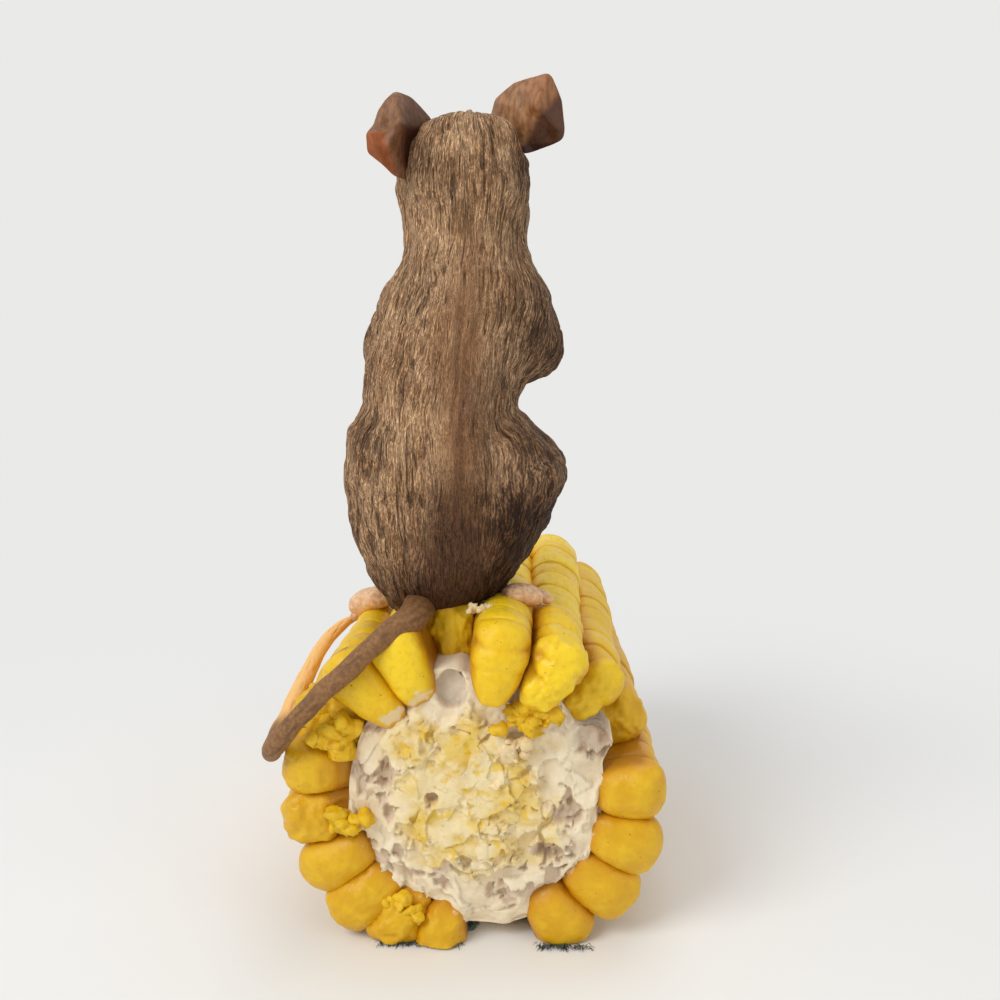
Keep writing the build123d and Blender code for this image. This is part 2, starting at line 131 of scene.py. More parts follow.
def make_piece(name, shells, material, nodes=(), marks=None):
    """One object from closed shells, each an array of rings: rows by columns by x, y, z in millimetres."""
    points, quads, triangles = [], [], []
    first = 0
    for shell in shells:
        corners = with_poles(shell)
        four, three = shell_faces(*shell.shape[:2])
        if enclosed_volume(corners, four, three) < 0:
            four, three = four[:, ::-1], three[:, ::-1]
        points.append(corners)
        quads.append(four + first)
        triangles.append(three + first)
        first += len(corners)
    mesh = bpy.data.meshes.new(name)
    faces = np.concatenate(quads).tolist() + np.concatenate(triangles).tolist()
    mesh.from_pydata((np.concatenate(points) * MM).tolist(), [], faces)
    mesh.polygons.foreach_set("use_smooth", np.ones(len(mesh.polygons), dtype=bool))
    for mark, values in (marks or {}).items():
        flat = np.concatenate([with_poles(value) for value in values])
        kind, key = ("FLOAT", "value") if flat.ndim == 1 else ("FLOAT_VECTOR", "vector")
        mesh.attributes.new(mark, kind, "POINT").data.foreach_set(key, flat.ravel())
    mesh.materials.append(material)
    piece = bpy.data.objects.new(name, mesh)
    bpy.context.scene.collection.objects.link(piece)
    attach(piece, "root")
    if nodes:
        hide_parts(*nodes)
    print(name, "has", len(mesh.polygons), "faces")


def grid_normals(points):
    """Outward directions of a stack of rings: the cross product of its steps round and along."""
    around = np.roll(points, -1, axis=1) - np.roll(points, 1, axis=1)
    normal = np.cross(around, np.gradient(points, axis=0))
    normal = normal / np.maximum(np.linalg.norm(normal, axis=-1, keepdims=True), 1e-9)
    outward = points - points.mean(axis=1, keepdims=True)
    return normal * np.sign(np.sum(normal * outward))


# %% [markdown]
# ## Paint as arithmetic
# A Blender material is a tree of nodes, and wiring it by hand hides the idea. Here a socket is wrapped in a small
# class, so that an expression such as 1 - groove * 0.5 adds the Math nodes by itself. Colours go through Mix nodes.

# %% Paint maker
class Value:
    """A socket of a material. Arithmetic on it adds Math nodes."""

    def __init__(self, paint, socket):
        self.paint = paint
        self.socket = socket

    def math(self, operation, first, second):
        return self.paint.node("ShaderNodeMath", {"operation": operation}, {0: first, 1: second})

    def __add__(self, other):
        return self.math("ADD", self, other)

    def __sub__(self, other):
        return self.math("SUBTRACT", self, other)

    def __rsub__(self, other):
        return self.math("SUBTRACT", other, self)

    def __mul__(self, other):
        return self.math("MULTIPLY", self, other)

    __radd__ = __add__
    __rmul__ = __mul__

    def step(self, low, high):
        """0 below low, 1 above high, and a smooth step between them."""
        settings = {"interpolation_type": "SMOOTHSTEP"}
        return self.paint.node("ShaderNodeMapRange", settings, {0: self, 1: low, 2: high})


class Paint:
    """One material: a Principled shader, with any node added in front of it by one method."""

    def __init__(self, name, constants):
        self.material = bpy.data.materials.new(name)
        self.material.use_nodes = True
        self.tree = self.material.node_tree
        self.shader = self.tree.nodes["Principled BSDF"]
        self.feed(constants)

    def put(self, socket, value):
        if isinstance(value, Value):
            self.tree.links.new(value.socket, socket)
        else:
            socket.default_value = value

    def feed(self, inputs):
        for key, value in inputs.items():
            self.put(self.shader.inputs[key], value)

    def node(self, kind, settings, inputs, output=0):
        """A node of this kind: its settings first, then the values or links of its sockets."""
        node = self.tree.nodes.new(kind)
        for key, value in settings.items():
            setattr(node, key, value)
        for key, value in inputs.items():
            self.put(node.inputs[key], value)
        return Value(self, node.outputs[output])

    def mix(self, share, first, second):
        return self.node("ShaderNodeMix", {"data_type": "RGBA"}, {0: share, 6: first, 7: second}, 2)

    def mark(self, name, output="Fac"):
        return self.node("ShaderNodeAttribute", {"attribute_name": name}, {}, output)

    def noise(self, size, detail=2.0, coords=None):
        """Noise on Object or given coordinates: size is the width of a blotch along x, y and z in millimetres."""
        coords = coords or self.node("ShaderNodeTexCoord", {}, {}, "Object")
        scale = tuple(1 / (side * MM) for side in size)
        spread = self.node("ShaderNodeMapping", {}, {"Vector": coords, "Scale": scale})
        return self.node("ShaderNodeTexNoise", {}, {"Vector": spread, "Scale": 1.0, "Detail": detail})

    def bump(self, height, depth):
        """Bump normals from a height of 0 to 1 that stands for a depth in millimetres."""
        self.feed({"Normal": self.node("ShaderNodeBump", {}, {"Height": height, "Distance": depth * MM})})


def colour(red, green, blue):
    """Screen colour from 0 to 255 as the linear numbers that a shader works in."""
    screen = np.array([red, green, blue]) / 255
    linear = np.where(screen <= 0.04045, screen / 12.92, ((screen + 0.055) / 1.055) ** 2.4)
    return (*linear.tolist(), 1.0)


# %% [markdown]
# ## Camera, light and floor
# The camera stands close behind the mouse and a little above the cob. A lamp's level is the share of full white
# that it gives to a surface facing it, so colours come out about as they are written. The pale background is
# only for the camera and for reflections.

# %% Camera
CAMERA_PLACE = np.array([7.9, -152.2, 82.1])
CAMERA_DIP = np.radians(10.78)
CAMERA_TURN = np.radians(2.2)
FRAME_PIXELS = 1000
FOCAL_PIXELS = 1050

camera_data = bpy.data.cameras.new("camera")
camera_data.sensor_fit = "HORIZONTAL"
camera_data.angle = 2 * np.arctan(FRAME_PIXELS / 2 / FOCAL_PIXELS)
camera_data.clip_start = MM
camera = bpy.data.objects.new("camera", camera_data)
camera.location = CAMERA_PLACE * MM
camera.rotation_euler = (np.pi / 2 - CAMERA_DIP, 0, CAMERA_TURN)
bpy.context.scene.collection.objects.link(camera)
bpy.context.scene.camera = camera
print("field of view", round(np.degrees(camera_data.angle), 1), "degrees")

# %% Lamps and sky
LAMP_TARGET = np.array([0.0, 0.0, 50.0])


def soft_lamp(name, place, level, size):
    """Square lamp aimed at the ornament. A white surface at its target gets level: power = level (pi d)^2."""
    data = bpy.data.lights.new(name, "AREA")
    data.size = size * MM
    away = np.array(place) - LAMP_TARGET
    data.energy = level * (np.pi * np.linalg.norm(away) * MM) ** 2
    lamp = bpy.data.objects.new(name, data)
    lamp.location = np.array(place) * MM
    side = np.hypot(away[0], away[1])
    lamp.rotation_euler = (np.arctan2(side, away[2]), 0, np.arctan2(away[0], -away[1]))
    bpy.context.scene.collection.objects.link(lamp)


soft_lamp("key_lamp", (-330, -330, 420), 0.52, 300)
soft_lamp("top_lamp", (60, 120, 560), 0.26, 360)
soft_lamp("fill_lamp", (420, -260, 200), 0.12, 300)

SKY_LEVEL = 0.46
BACKDROP = colour(234, 234, 232)
sky = bpy.data.worlds.new("sky")
sky.use_nodes = True
bpy.context.scene.world = sky
tree = sky.node_tree
lit = tree.nodes["Background"]
lit.inputs["Color"].default_value = (1, 1, 1, 1)
lit.inputs["Strength"].default_value = SKY_LEVEL
seen = tree.nodes.new("ShaderNodeBackground")
seen.inputs["Color"].default_value = BACKDROP
rays = tree.nodes.new("ShaderNodeLightPath")
choice = tree.nodes.new("ShaderNodeMixShader")
shown = rays.outputs["Is Camera Ray"]
for kind in ("Is Glossy Ray", "Is Transmission Ray"):
    either = tree.nodes.new("ShaderNodeMath")
    either.operation = "MAXIMUM"
    tree.links.new(shown, either.inputs[0])
    tree.links.new(rays.outputs[kind], either.inputs[1])
    shown = either.outputs[0]
tree.links.new(shown, choice.inputs[0])
tree.links.new(lit.outputs[0], choice.inputs[1])
tree.links.new(seen.outputs[0], choice.inputs[2])
tree.links.new(choice.outputs[0], tree.nodes["World Output"].inputs["Surface"])

# %% Floor
FLOOR_REACH = 1500.0
FLOOR_FADE = (42.0, 150.0)
floor_paint = Paint("pale_floor", {"Roughness": 0.8})
floor_tone = floor_paint.noise((160, 160, 160)).step(0.3, 0.7)
floor_paint.feed({"Base Color": floor_paint.mix(floor_tone, colour(240, 240, 239), colour(243, 243, 241))})
spot = floor_paint.node("ShaderNodeTexCoord", {}, {}, "Object")
far_off = floor_paint.node("ShaderNodeVectorMath", {"operation": "LENGTH"}, {0: spot}, "Value")
far_off = far_off.step(FLOOR_FADE[0] * MM, FLOOR_FADE[1] * MM)
camera_ray = floor_paint.node("ShaderNodeLightPath", {}, {}, "Is Camera Ray")
glow = floor_paint.node("ShaderNodeEmission", {}, {"Color": BACKDROP})
floor_shader = Value(floor_paint, floor_paint.shader.outputs[0])
faded = floor_paint.node("ShaderNodeMixShader", {}, {0: far_off * camera_ray, 1: floor_shader, 2: glow})
floor_paint.tree.links.new(faded.socket, floor_paint.tree.nodes["Material Output"].inputs["Surface"])
floor_mesh = bpy.data.meshes.new("floor")
corner = FLOOR_REACH * MM
floor_mesh.from_pydata(
    [(-corner, -corner, 0), (corner, -corner, 0), (corner, corner, 0), (-corner, corner, 0)], [], [(0, 1, 2, 3)]
)
floor_mesh.materials.append(floor_paint.material)
floor = bpy.data.objects.new("floor", floor_mesh)
bpy.context.scene.collection.objects.link(floor)

# %% [markdown]
# ## Measuring the cob
# The rows of kernels fan out round the cob's axis. Their angles, starts and radii are read from the solids of the
# frame, so a dressed row always lies where its solid does.

# %% Rows of the frame
def node_points(name):
    """Corners of a solid's mesh in millimetres."""
    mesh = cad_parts[name].data
    flat = np.empty(len(mesh.vertices) * 3, np.float32)
    mesh.vertices.foreach_get("co", flat)
    return flat.reshape(-1, 3).astype(float) / MM


def box_mm(name):
    low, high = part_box(name)
    return np.array(low) / MM, np.array(high) / MM


core_low, core_high = box_mm("cob_core")
AXIS_HEIGHT = (core_low[2] + core_high[2]) / 2
CORE_RADIUS = (core_high[0] - core_low[0]) / 2
FELT_TOP = box_mm("felt_pad")[1][2]
row_names = sorted(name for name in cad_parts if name.startswith("kernel_row"))
rows = {}
for name in row_names:
    corners = node_points(name)
    turn = np.arctan2(corners[:, 0], corners[:, 2] - AXIS_HEIGHT)
    rows[name] = {
        "middle": (turn.max() + turn.min()) / 2,
        "half": (turn.max() - turn.min()) / 2,
        "start": corners[:, 1].min(),
        "stop": corners[:, 1].max(),
    }

flank = np.concatenate([node_points(name) for name in row_names[4:8]])
flank_radius = np.hypot(flank[:, 0], flank[:, 2] - AXIS_HEIGHT)
NEAR_END = rows["kernel_row_05"]["start"]
FAR_END = rows["kernel_row_05"]["stop"]
near_crown = flank_radius[flank[:, 1] < NEAR_END / 2].max()
far_crown = flank_radius[flank[:, 1] > FAR_END - 5].max()
CROWN_LINE = np.polyfit([NEAR_END, FAR_END], [near_crown, far_crown], 1)


def crown_radius(y):
    """Radius of the kernels' tops at a place along the cob."""
    return np.polyval(CROWN_LINE, y)


def round_cob(radius, angle, y):
    """Point at a radius from the cob's axis, with the angle measured from the top towards +X."""
    radius, angle, y = np.broadcast_arrays(radius, angle, y)
    return np.stack([radius * np.sin(angle), y, AXIS_HEIGHT + radius * np.cos(angle)], axis=-1)


print("cob from", NEAR_END, "to", FAR_END, "crowns", near_crown, far_crown, "core", CORE_RADIUS)

# %% [markdown]
# ## Kernel paint
# The kernels are glossy golden yellow, and shade is painted on them: orange-brown in the creases, and a darker
# orange on the rows of the cob's flanks, away from its top. Depth below the crown is a mark of the mesh, so the
# painted shade lies in the real creases. Where a kernel has broken off the pith, pale smears of the bare resin run
# over its foot.

# %% Kernel paint
kernel_paint = Paint("kernel_gold", {"Specular IOR Level": 0.35})
crease = kernel_paint.mark("crease")
kernel_tint = kernel_paint.mark("tint")
ripe = kernel_paint.mark("ripe")
pale = kernel_paint.mark("pale")
mottle = kernel_paint.noise((2.6, 2.6, 2.6), 4).step(0.35, 0.7)
streak = kernel_paint.noise((0.7, 2.4, 0.7), 3).step(0.45, 0.75)
smear = kernel_paint.noise((1.6, 2.6, 1.6), 4)
gold = kernel_paint.mix(kernel_tint, colour(240, 194, 18), colour(250, 213, 36))
# Painted shade: the rows on the cob's flanks, away from its top, are a darker orange.
gold = kernel_paint.mix(ripe * 0.9, gold, colour(216, 162, 12))
gold = kernel_paint.mix(mottle * 0.4, gold, colour(248, 210, 48))
gold = kernel_paint.mix(streak * 0.35, gold, colour(218, 160, 16))
# Painted shade: orange-brown in the creases, and a deeper brown where the crease shade is strongest.
gold = kernel_paint.mix(crease.step(0.18, 0.75) * 0.75, gold, colour(206, 140, 10))
gold = kernel_paint.mix(crease.step(0.6, 1.0) * 0.7, gold, colour(158, 100, 14))
speck = kernel_paint.noise((0.45, 0.45, 0.45), 1).step(0.74, 0.80)
gold = kernel_paint.mix(speck * 0.7, gold, colour(138, 90, 22))
gold = kernel_paint.mix((0.6 * pale + 0.9 * smear).step(0.95, 1.1) * 0.85, gold, colour(236, 214, 172))
kernel_paint.feed({"Base Color": gold, "Roughness": 0.34 + 0.22 * mottle})
kernel_paint.bump(kernel_paint.noise((1.1, 1.1, 1.1), 4), 0.2)

# %% [markdown]
# ## Kernel rows
# A row is a string of soft beads pressed between its neighbours. It could be a hundred separate pillows, but cast
# resin has no gaps, so each row is one closed tube: its section is a rounded wedge between the core and the crown,
# and the crown dips at every joint between two kernels. Rows are squeezed a little into each other, which gives
# tight creases instead of gaps. The ends close with a rounded face.

# %% Kernel rows
KERNEL_LENGTH = 5.0
JOINT_DEPTH = 0.65
SQUEEZE = 1.17
FACE_ROUND = 3.2
FACE_POWER = 2.1
RING_POINTS = 72
FELT_INSET = 3.2
HEAD_FLOOR = 0.3
# These tables go by a row's number. How badly its near end is crushed, from 0 for a whole kernel
CRUSHED = {2: 0.4, 3: 0.3, 4: 0.4, 10: 0.2, 11: 0.45, 12: 0.15, 14: 0.35, 15: 0.2, 16: 1.0, 19: 0.5}
# Near heads that hang over the pith, and the radii of the faint joints in them
DROOP = {1: 1.0, 2: 0.9}
DROOP_JOINTS = (21.4, 18.6)
# How far the near heads of some rows stand out past the others, and how far back that reaches, in millimetres
BULGE = {
    3: (-0.3, 30), 4: (-0.35, 60), 5: (0.05, 7), 6: (1.0, 8), 7: (1.6, 9), 8: (1.1, 9), 11: (0.8, 7), 12: (1.8, 9),
    13: (1.5, 9), 14: (1.3, 10), 15: (1.0, 12), 16: (1.2, 30), 17: (1.1, 28), 18: (0.5, 9),
}
# Degrees by which the near heads of some rows sag round the cob
SAG = {12: -3.0, 13: -4.0, 14: -3.0, 15: -2.5}
# How far the far ends of some rows rise, and how slim the near ends are
FAR_LIFT = {2: 2.2, 3: 1.1, 4: -0.2, 5: -0.8}
SLIM = {1: 0.92, 2: 0.84, 3: 0.66}
# By how much some heads lack their feet, or reach further in, and where the heads that stand forward start
FOOTLESS = {14: 2.4, 15: 2.2, 16: 1.0, 17: -2.0, 18: -1.7}
FORWARD = {10: -31.0, 11: -30.6, 12: -30.6, 13: -30.2, 17: -31.0, 18: -31.0}


def bead(phase, power):
    """Crown of a kernel along its length: 0 at both joints, 1 over the middle, as a rounded square."""
    return (1 - np.abs(2 * phase - 1) ** power) ** (1 / power)


def row_stations(start, stop, draw):
    """Places along a row with their kernel, phase in it and shrink: 1 on the body, falling to 0 at the faces."""
    count = max(1, round((stop - start) / KERNEL_LENGTH))
    edges = np.linspace(start, stop, count + 1)
    edges[1:-1] += draw.uniform(-0.07, 0.07, count - 1) * KERNEL_LENGTH
    phase = (1 - np.cos(np.pi * np.arange(14) / 14)) / 2
    kernel = np.repeat(np.arange(count), len(phase))
    y = edges[kernel] + np.tile(phase, count) * (edges[kernel + 1] - edges[kernel])
    y = y[(y > start + FACE_ROUND) & (y < stop - FACE_ROUND)]
    shrink = np.linspace(0.03, 1.0, 26)
    depth = FACE_ROUND * (1 - (1 - shrink**FACE_POWER) ** (1 / FACE_POWER))
    y = np.concatenate([start + depth, y, (stop - depth)[::-1]])
    shrink = np.concatenate([shrink, np.ones(len(y) - 2 * len(shrink)), shrink[::-1]])
    kernel = np.clip(np.searchsorted(edges, y) - 1, 0, count - 1)
    phase = (y - edges[kernel]) / (edges[kernel + 1] - edges[kernel])
    return y, kernel, phase, shrink, count


def kernel_row(number, row, seed):
    """Rounded wedge carried along the cob: half width = squeeze radius tan(half angle), crown dipped at joints."""
    draw = np.random.default_rng(seed)
    begin = FORWARD.get(number, row["start"])
    y, kernel, phase, shrink, count = row_stations(begin, row["stop"], draw)
    lift = draw.uniform(-0.4, 0.1, count)
    lift[0] = 0.0
    bulge, reach_back = BULGE.get(number, (0, 9))
    lift = lift[kernel] + bulge * s_curve(NEAR_END + reach_back - y, 0, 5)
    lift = lift + FAR_LIFT.get(number, 0) * s_curve(y, -14, 16)
    width = draw.uniform(0.97, 1.02, count)[kernel]
    width = width * (1 - (1 - SLIM.get(number, 1)) * s_curve(NEAR_END + 16 - y, 0, 8))
    tint = draw.uniform(0, 1, count)[kernel]
    crown_share = bead(phase, 2.3)
    crown_share = np.where((kernel == 0) & (phase < 0.5) | (kernel == count - 1) & (phase > 0.5), 1, crown_share)
    hang = np.clip((NEAR_END - y) / 4.5, 0, 1) * DROOP.get(number, 0)
    joint = JOINT_DEPTH * (1 - 0.5 * s_curve(y, -24, -4))
    top = crown_radius(y) - joint * (1 - crown_share) + lift - 1.2 * hang**2
    bottom = np.interp(y, [NEAR_END, FAR_END], [CORE_RADIUS, CORE_RADIUS * 0.92]) - 0.4 - 3.6 * hang**1.5
    bottom = bottom + FOOTLESS.get(number, 0) * s_curve(begin + 3.4 - y, 0, 1.6)
    middle, reach = (top + bottom) / 2, (top - bottom) / 2
    round_angle = np.linspace(0, 2 * np.pi, RING_POINTS, endpoint=False)
    power = np.where(np.sin(round_angle) > 0, 2 / 2.25, 2 / 4)
    across = np.sign(np.cos(round_angle)) * np.abs(np.cos(round_angle)) ** power
    outward = np.sign(np.sin(round_angle)) * np.abs(np.sin(round_angle)) ** power
    radius = middle[:, None] + (reach * shrink)[:, None] * outward
    half_width = SQUEEZE * radius * np.tan(row["half"]) * (0.96 + 0.04 * crown_share)[:, None]
    half_width = half_width * (1 - 0.3 * hang[:, None] * s_curve(20 - radius, 0, 9))
    aside = half_width * across * (shrink * width)[:, None]
    angle = row["middle"] + np.radians(SAG.get(number, 0)) * s_curve(NEAR_END + 12 - y, 0, 8)[:, None]
    points = round_cob(radius, angle, y[:, None])
    points += aside[..., None] * np.stack([np.cos(angle), 0 * angle, -np.sin(angle)], axis=-1)
    dent = 0.2 * soft_noise(points / 3.0, seed) + 0.05 * soft_noise(points / 0.9, seed + 1)
    crush = CRUSHED.get(number, 0) * s_curve(begin + 5.5 - y, 0, 3.0)[:, None]
    torn = soft_noise(points / 1.9, seed + 2) * 1.1 + soft_noise(points / 0.8, seed + 3) * 0.6
    bends = sum(np.exp(-(((radius + 0.3 * torn - place) / 0.45) ** 2)) for place in DROOP_JOINTS)
    bends = bends * s_curve(hang, 0.1, 0.5)[:, None] * (outward > -0.98)
    points = points + grid_normals(points) * (dent + crush * torn - 0.2 * bends)[..., None]
    points[..., 1] = np.maximum(points[..., 1], begin)
    in_front = points[..., 1] < box_mm("felt_pad")[0][1] + FELT_INSET - 0.4
    points[..., 2] = np.maximum(points[..., 2], np.where(in_front, HEAD_FLOOR, FELT_TOP))
    # Painted shade: the crease shade mark grows with depth below the crown, at the joints between kernels, on the inner
    # half of the end faces and in the bends of drooping heads, and rows on the shaded lower right get more.
    deep = np.clip((crown_radius(y)[:, None] - radius) / 3.4, 0, 1) * shrink[:, None] ** 5
    inner = np.clip((middle[:, None] - radius) / reach[:, None], 0, 1) * (1 - shrink[:, None] ** 5)
    crease = np.clip(deep + 0.4 * (1 - crown_share[:, None]) ** 1.5 + 0.35 * inner, 0, 1)
    shaded = 0.22 * s_curve(row["middle"], 1.7, 2.3)
    crease = np.clip(crease - crush * torn * 0.4 + 0.22 * bends + shaded, 0, 1)
    smeared = begin + 3.5 + 1.3 * max(FOOTLESS.get(number, 0), 0)
    foot = s_curve(CORE_RADIUS + 2.6 - radius, 0, 3.0) * s_curve(smeared - y, 0, 2.5)[:, None]
    foot = foot * (number not in DROOP)
    # Painted shade for the rows on the cob's flanks: more the further a row turns from the top.
    ripe = np.full(crease.shape, s_curve(abs(row["middle"]), 0.5, 1.3))
    marks = {"crease": crease, "tint": np.repeat(tint[:, None], RING_POINTS, axis=1), "ripe": ripe, "pale": foot}
    return points, {key: [value] for key, value in marks.items()}


for index, name in enumerate(row_names):
    row_points, row_marks = kernel_row(index + 1, rows[name], 11 * index + 5)
    make_piece("painted_" + name, [row_points], kernel_paint.material, [name], row_marks)

# %% [markdown]
# ## Crumbs
# Some kernels at the broken end are torn to crumbs. A crumb is a knobbly flake: a ball pressed flat and turned at
# random. They are strewn in heaps, each with a middle, a spread, a size and a count.

# %% Crumbs
# Middle x, y and z, spread across, up and along, size, count and share of bare resin
CRUMB_HEAPS = (
    ((-17.6, -28.9, 28.4), (2.4, 0.5, 2.1), 1.3, 34, 0.0),
    ((-9.0, -29.9, 5.6), (1.9, 0.4, 1.5), 1.1, 10, 0.0),
    ((7.6, -31.5, 32.2), (2.0, 0.4, 1.0), 1.1, 22, 0.25),
    ((-16.4, -29.6, 16.8), (2.0, 0.4, 1.0), 1.1, 14, 0.2),
    ((2.9, -32.4, 30.9), (0.4, 0.2, 0.6), 1.1, 5, 0.0),
    ((5.6, -30.6, 28.0), (1.8, 0.5, 1.0), 1.1, 8, 1.4),
    ((0.9, -24.3, 43.5), (1.6, 0.5, 0.4), 0.7, 12, 1.4),
)
BALL_RINGS, BALL_COLUMNS = 9, 12
draw = np.random.default_rng(31)
climb = np.linspace(0.06, 0.94, BALL_RINGS)[:, None] * np.pi
turn = np.linspace(0, 2 * np.pi, BALL_COLUMNS, endpoint=False)
ball = np.stack(np.broadcast_arrays(np.sin(climb) * np.cos(turn), np.sin(climb) * np.sin(turn), np.cos(climb)), axis=-1)
crumbs, crumb_marks = [], []
for middle, spread, size, count, bare in CRUMB_HEAPS:
    for place in draw.normal(middle, np.array(spread) * 0.55, (count, 3)):
        stretch = size * draw.uniform(0.5, 1.1) * np.array([1.0, 1.1, 0.75]) * draw.uniform(0.8, 1.2, 3)
        turned, _ = np.linalg.qr(draw.normal(size=(3, 3)))
        place = np.maximum(place, (-100, core_low[1] + 0.3, HEAD_FLOOR + 1.7 * size))
        crumb = place + ball * stretch @ turned
        crumb = crumb + (crumb - place) * (0.5 * soft_noise(crumb / (0.55 * size), 620))[..., None]
        crumbs.append(crumb)
        even = np.ones(crumb.shape[:2])
        # Crumbs take a random share of the crease shade colours.
        rough = 0.25 * (1 + soft_noise(crumb / 0.9, 621))
        crumb_marks.append({"crease": rough, "tint": 0.6 * even, "ripe": 0.5 * even, "pale": bare * even})
crumb_marks = {key: [marks[key] for marks in crumb_marks] for key in crumb_marks[0]}
make_piece("kernel_crumbs", crumbs, kernel_paint.material, (), crumb_marks)

# %% [markdown]
# ## Pith
# Where the cob is broken its pale pith shows: dry torn flakes, cream with a yellow brush over the middle. A disc
# with a bump map would look flat at the edges, so the broken face is a grid of rings pushed in and out. Each cell of
# a warped honeycomb gets a random height and tilt, which gives flakes. A raised plateau in the middle, a sunk ring
# round it and a pit under the tail are laid on top as smooth steps.

# %% Pith paint
pith_paint = Paint("dry_pith", {"Specular IOR Level": 0.25})
high = pith_paint.mark("high")
heart = pith_paint.mark("heart")
sunk = pith_paint.mark("sunk")
crumb = pith_paint.noise((1.1, 1.1, 1.1), 5)
sweep = pith_paint.noise((4.2, 4.2, 3.0), 3).step(0.40, 0.60)
dab = pith_paint.noise((1.9, 1.9, 1.6), 2).step(0.56, 0.66)
# Painted shade: the low places of the torn relief are a darker cream, the high ones paler.
cream = pith_paint.mix(high.step(0.1, 0.6), colour(230, 210, 178), colour(248, 234, 204))
cream = pith_paint.mix(crumb.step(0.42, 0.6) * 0.3, cream, colour(230, 208, 166))
cream = pith_paint.mix(heart * 0.5, cream, colour(234, 208, 136))
cream = pith_paint.mix(heart * sweep * high.step(0.1, 0.5) * 0.8, cream, colour(230, 194, 84))
cream = pith_paint.mix(heart * dab * 0.75, cream, colour(230, 192, 48))
# Painted shade in the hollows; the pit under the tail then gets its own grey tone.
cream = pith_paint.mix(sunk.step(0.1, 0.9) * 0.75, cream, colour(218, 196, 174))
pit_tone = pith_paint.mix(crumb, colour(196, 180, 156), colour(236, 224, 204))
cream = pith_paint.mix(sunk.step(1.1, 1.8) * 0.9, cream, pit_tone)
pith_paint.feed({"Base Color": cream, "Roughness": 0.62 + 0.2 * crumb - 0.35 * sunk.step(1.1, 1.8)})
pith_paint.bump(crumb, 0.14)

# %% Torn flakes
PITH_COLUMNS = 360


def torn_facets(across, upward, cell, seed):
    """Height of the nearest cell's tilted plane: cells have random centres, and borders bent by noise."""
    spots = np.stack([across, upward, np.zeros_like(across)], axis=-1) / cell
    spots = spots + 0.3 * np.stack([soft_noise(spots * 2.1, seed + n) for n in (1, 2, 3)], axis=-1)
    spots[..., 2] = 0
    base = np.floor(spots).astype(np.int64)
    best = np.full(across.shape, 9.0)
    height = np.zeros(across.shape)
    for step in np.ndindex(3, 3):
        corner = base + np.array([step[0] - 1, step[1] - 1, 0])
        middle = corner[..., :2] + np.stack([lattice(corner, seed + 4), lattice(corner, seed + 5)], axis=-1)
        away = spots[..., :2] - middle
        distance = np.linalg.norm(away, axis=-1)
        tilt = away[..., 0] * (lattice(corner, seed + 6) - 0.5) + away[..., 1] * (lattice(corner, seed + 7) - 0.5)
        plane = 2 * lattice(corner, seed + 8) - 1 + 2.2 * tilt
        height = np.where(distance < best, plane, height)
        best = np.minimum(best, distance)
    return height


def spot_at(across, upward, middle, size):
    """1 in the middle of an oval spot, 0.37 at its edge, and fading outside: exp of minus the distance squared."""
    return np.exp(-(((across - middle[0]) / size[0]) ** 2) - ((upward - middle[1]) / size[1]) ** 2)


# %% Pith core
PITH_INSET = 2.0
# Angles in degrees round the cob between which the pith rises past its own rim, and by how many millimetres
LEDGES = ((-27.0, -2.0, 1.3), (56.0, 72.0, 2.3), (154.0, 192.0, 2.3))
PLATEAU_MIDDLE, PLATEAU_SIZE, PLATEAU_LIFT = (-0.8, 0.4), (9.6, 10.6), 1.0
# Middle across and upward from the axis, half sizes and depth of the hollows
HOLLOWS = (
    (-5.4, 0.2, 0.9, 0.9, 1.8),
    (11.8, -2.2, 2.2, 1.7, 1.2),
    (9.8, -7.4, 1.8, 1.4, 1.3),
    (-11.2, 3.0, 0.9, 2.2, 1.2),
    (-11.0, -2.4, 0.8, 1.2, 1.0),
    (15.0, 7.8, 2.4, 2.4, 1.4),
)
PIT = (-2.9, 14.2, 1.9, 2.6, 1.5)
LUMPS = ((5.1, 7.0, 1.6, 1.2, 0.9), (7.6, 4.0, 1.1, 1.4, 0.7), (2.4, -3.4, 2.4, 1.0, 0.7))


def pith_rim(angle):
    """Radius of the broken face: the core's own, raised where a row has broken away."""
    rise = np.zeros_like(angle)
    for start, stop, height in LEDGES:
        off_middle = (angle - np.radians(start + stop) / 2 + np.pi) % (2 * np.pi) - np.pi
        inside = np.radians(stop - start) / 2 - np.abs(off_middle)
        rise = np.maximum(rise, height * s_curve(inside, -0.06, 0.10))
    torn = soft_noise(np.stack([3.4 * np.sin(angle), 3.4 * np.cos(angle), 0 * angle], axis=-1), 307)
    return CORE_RADIUS + 0.6 + rise + 0.8 * torn


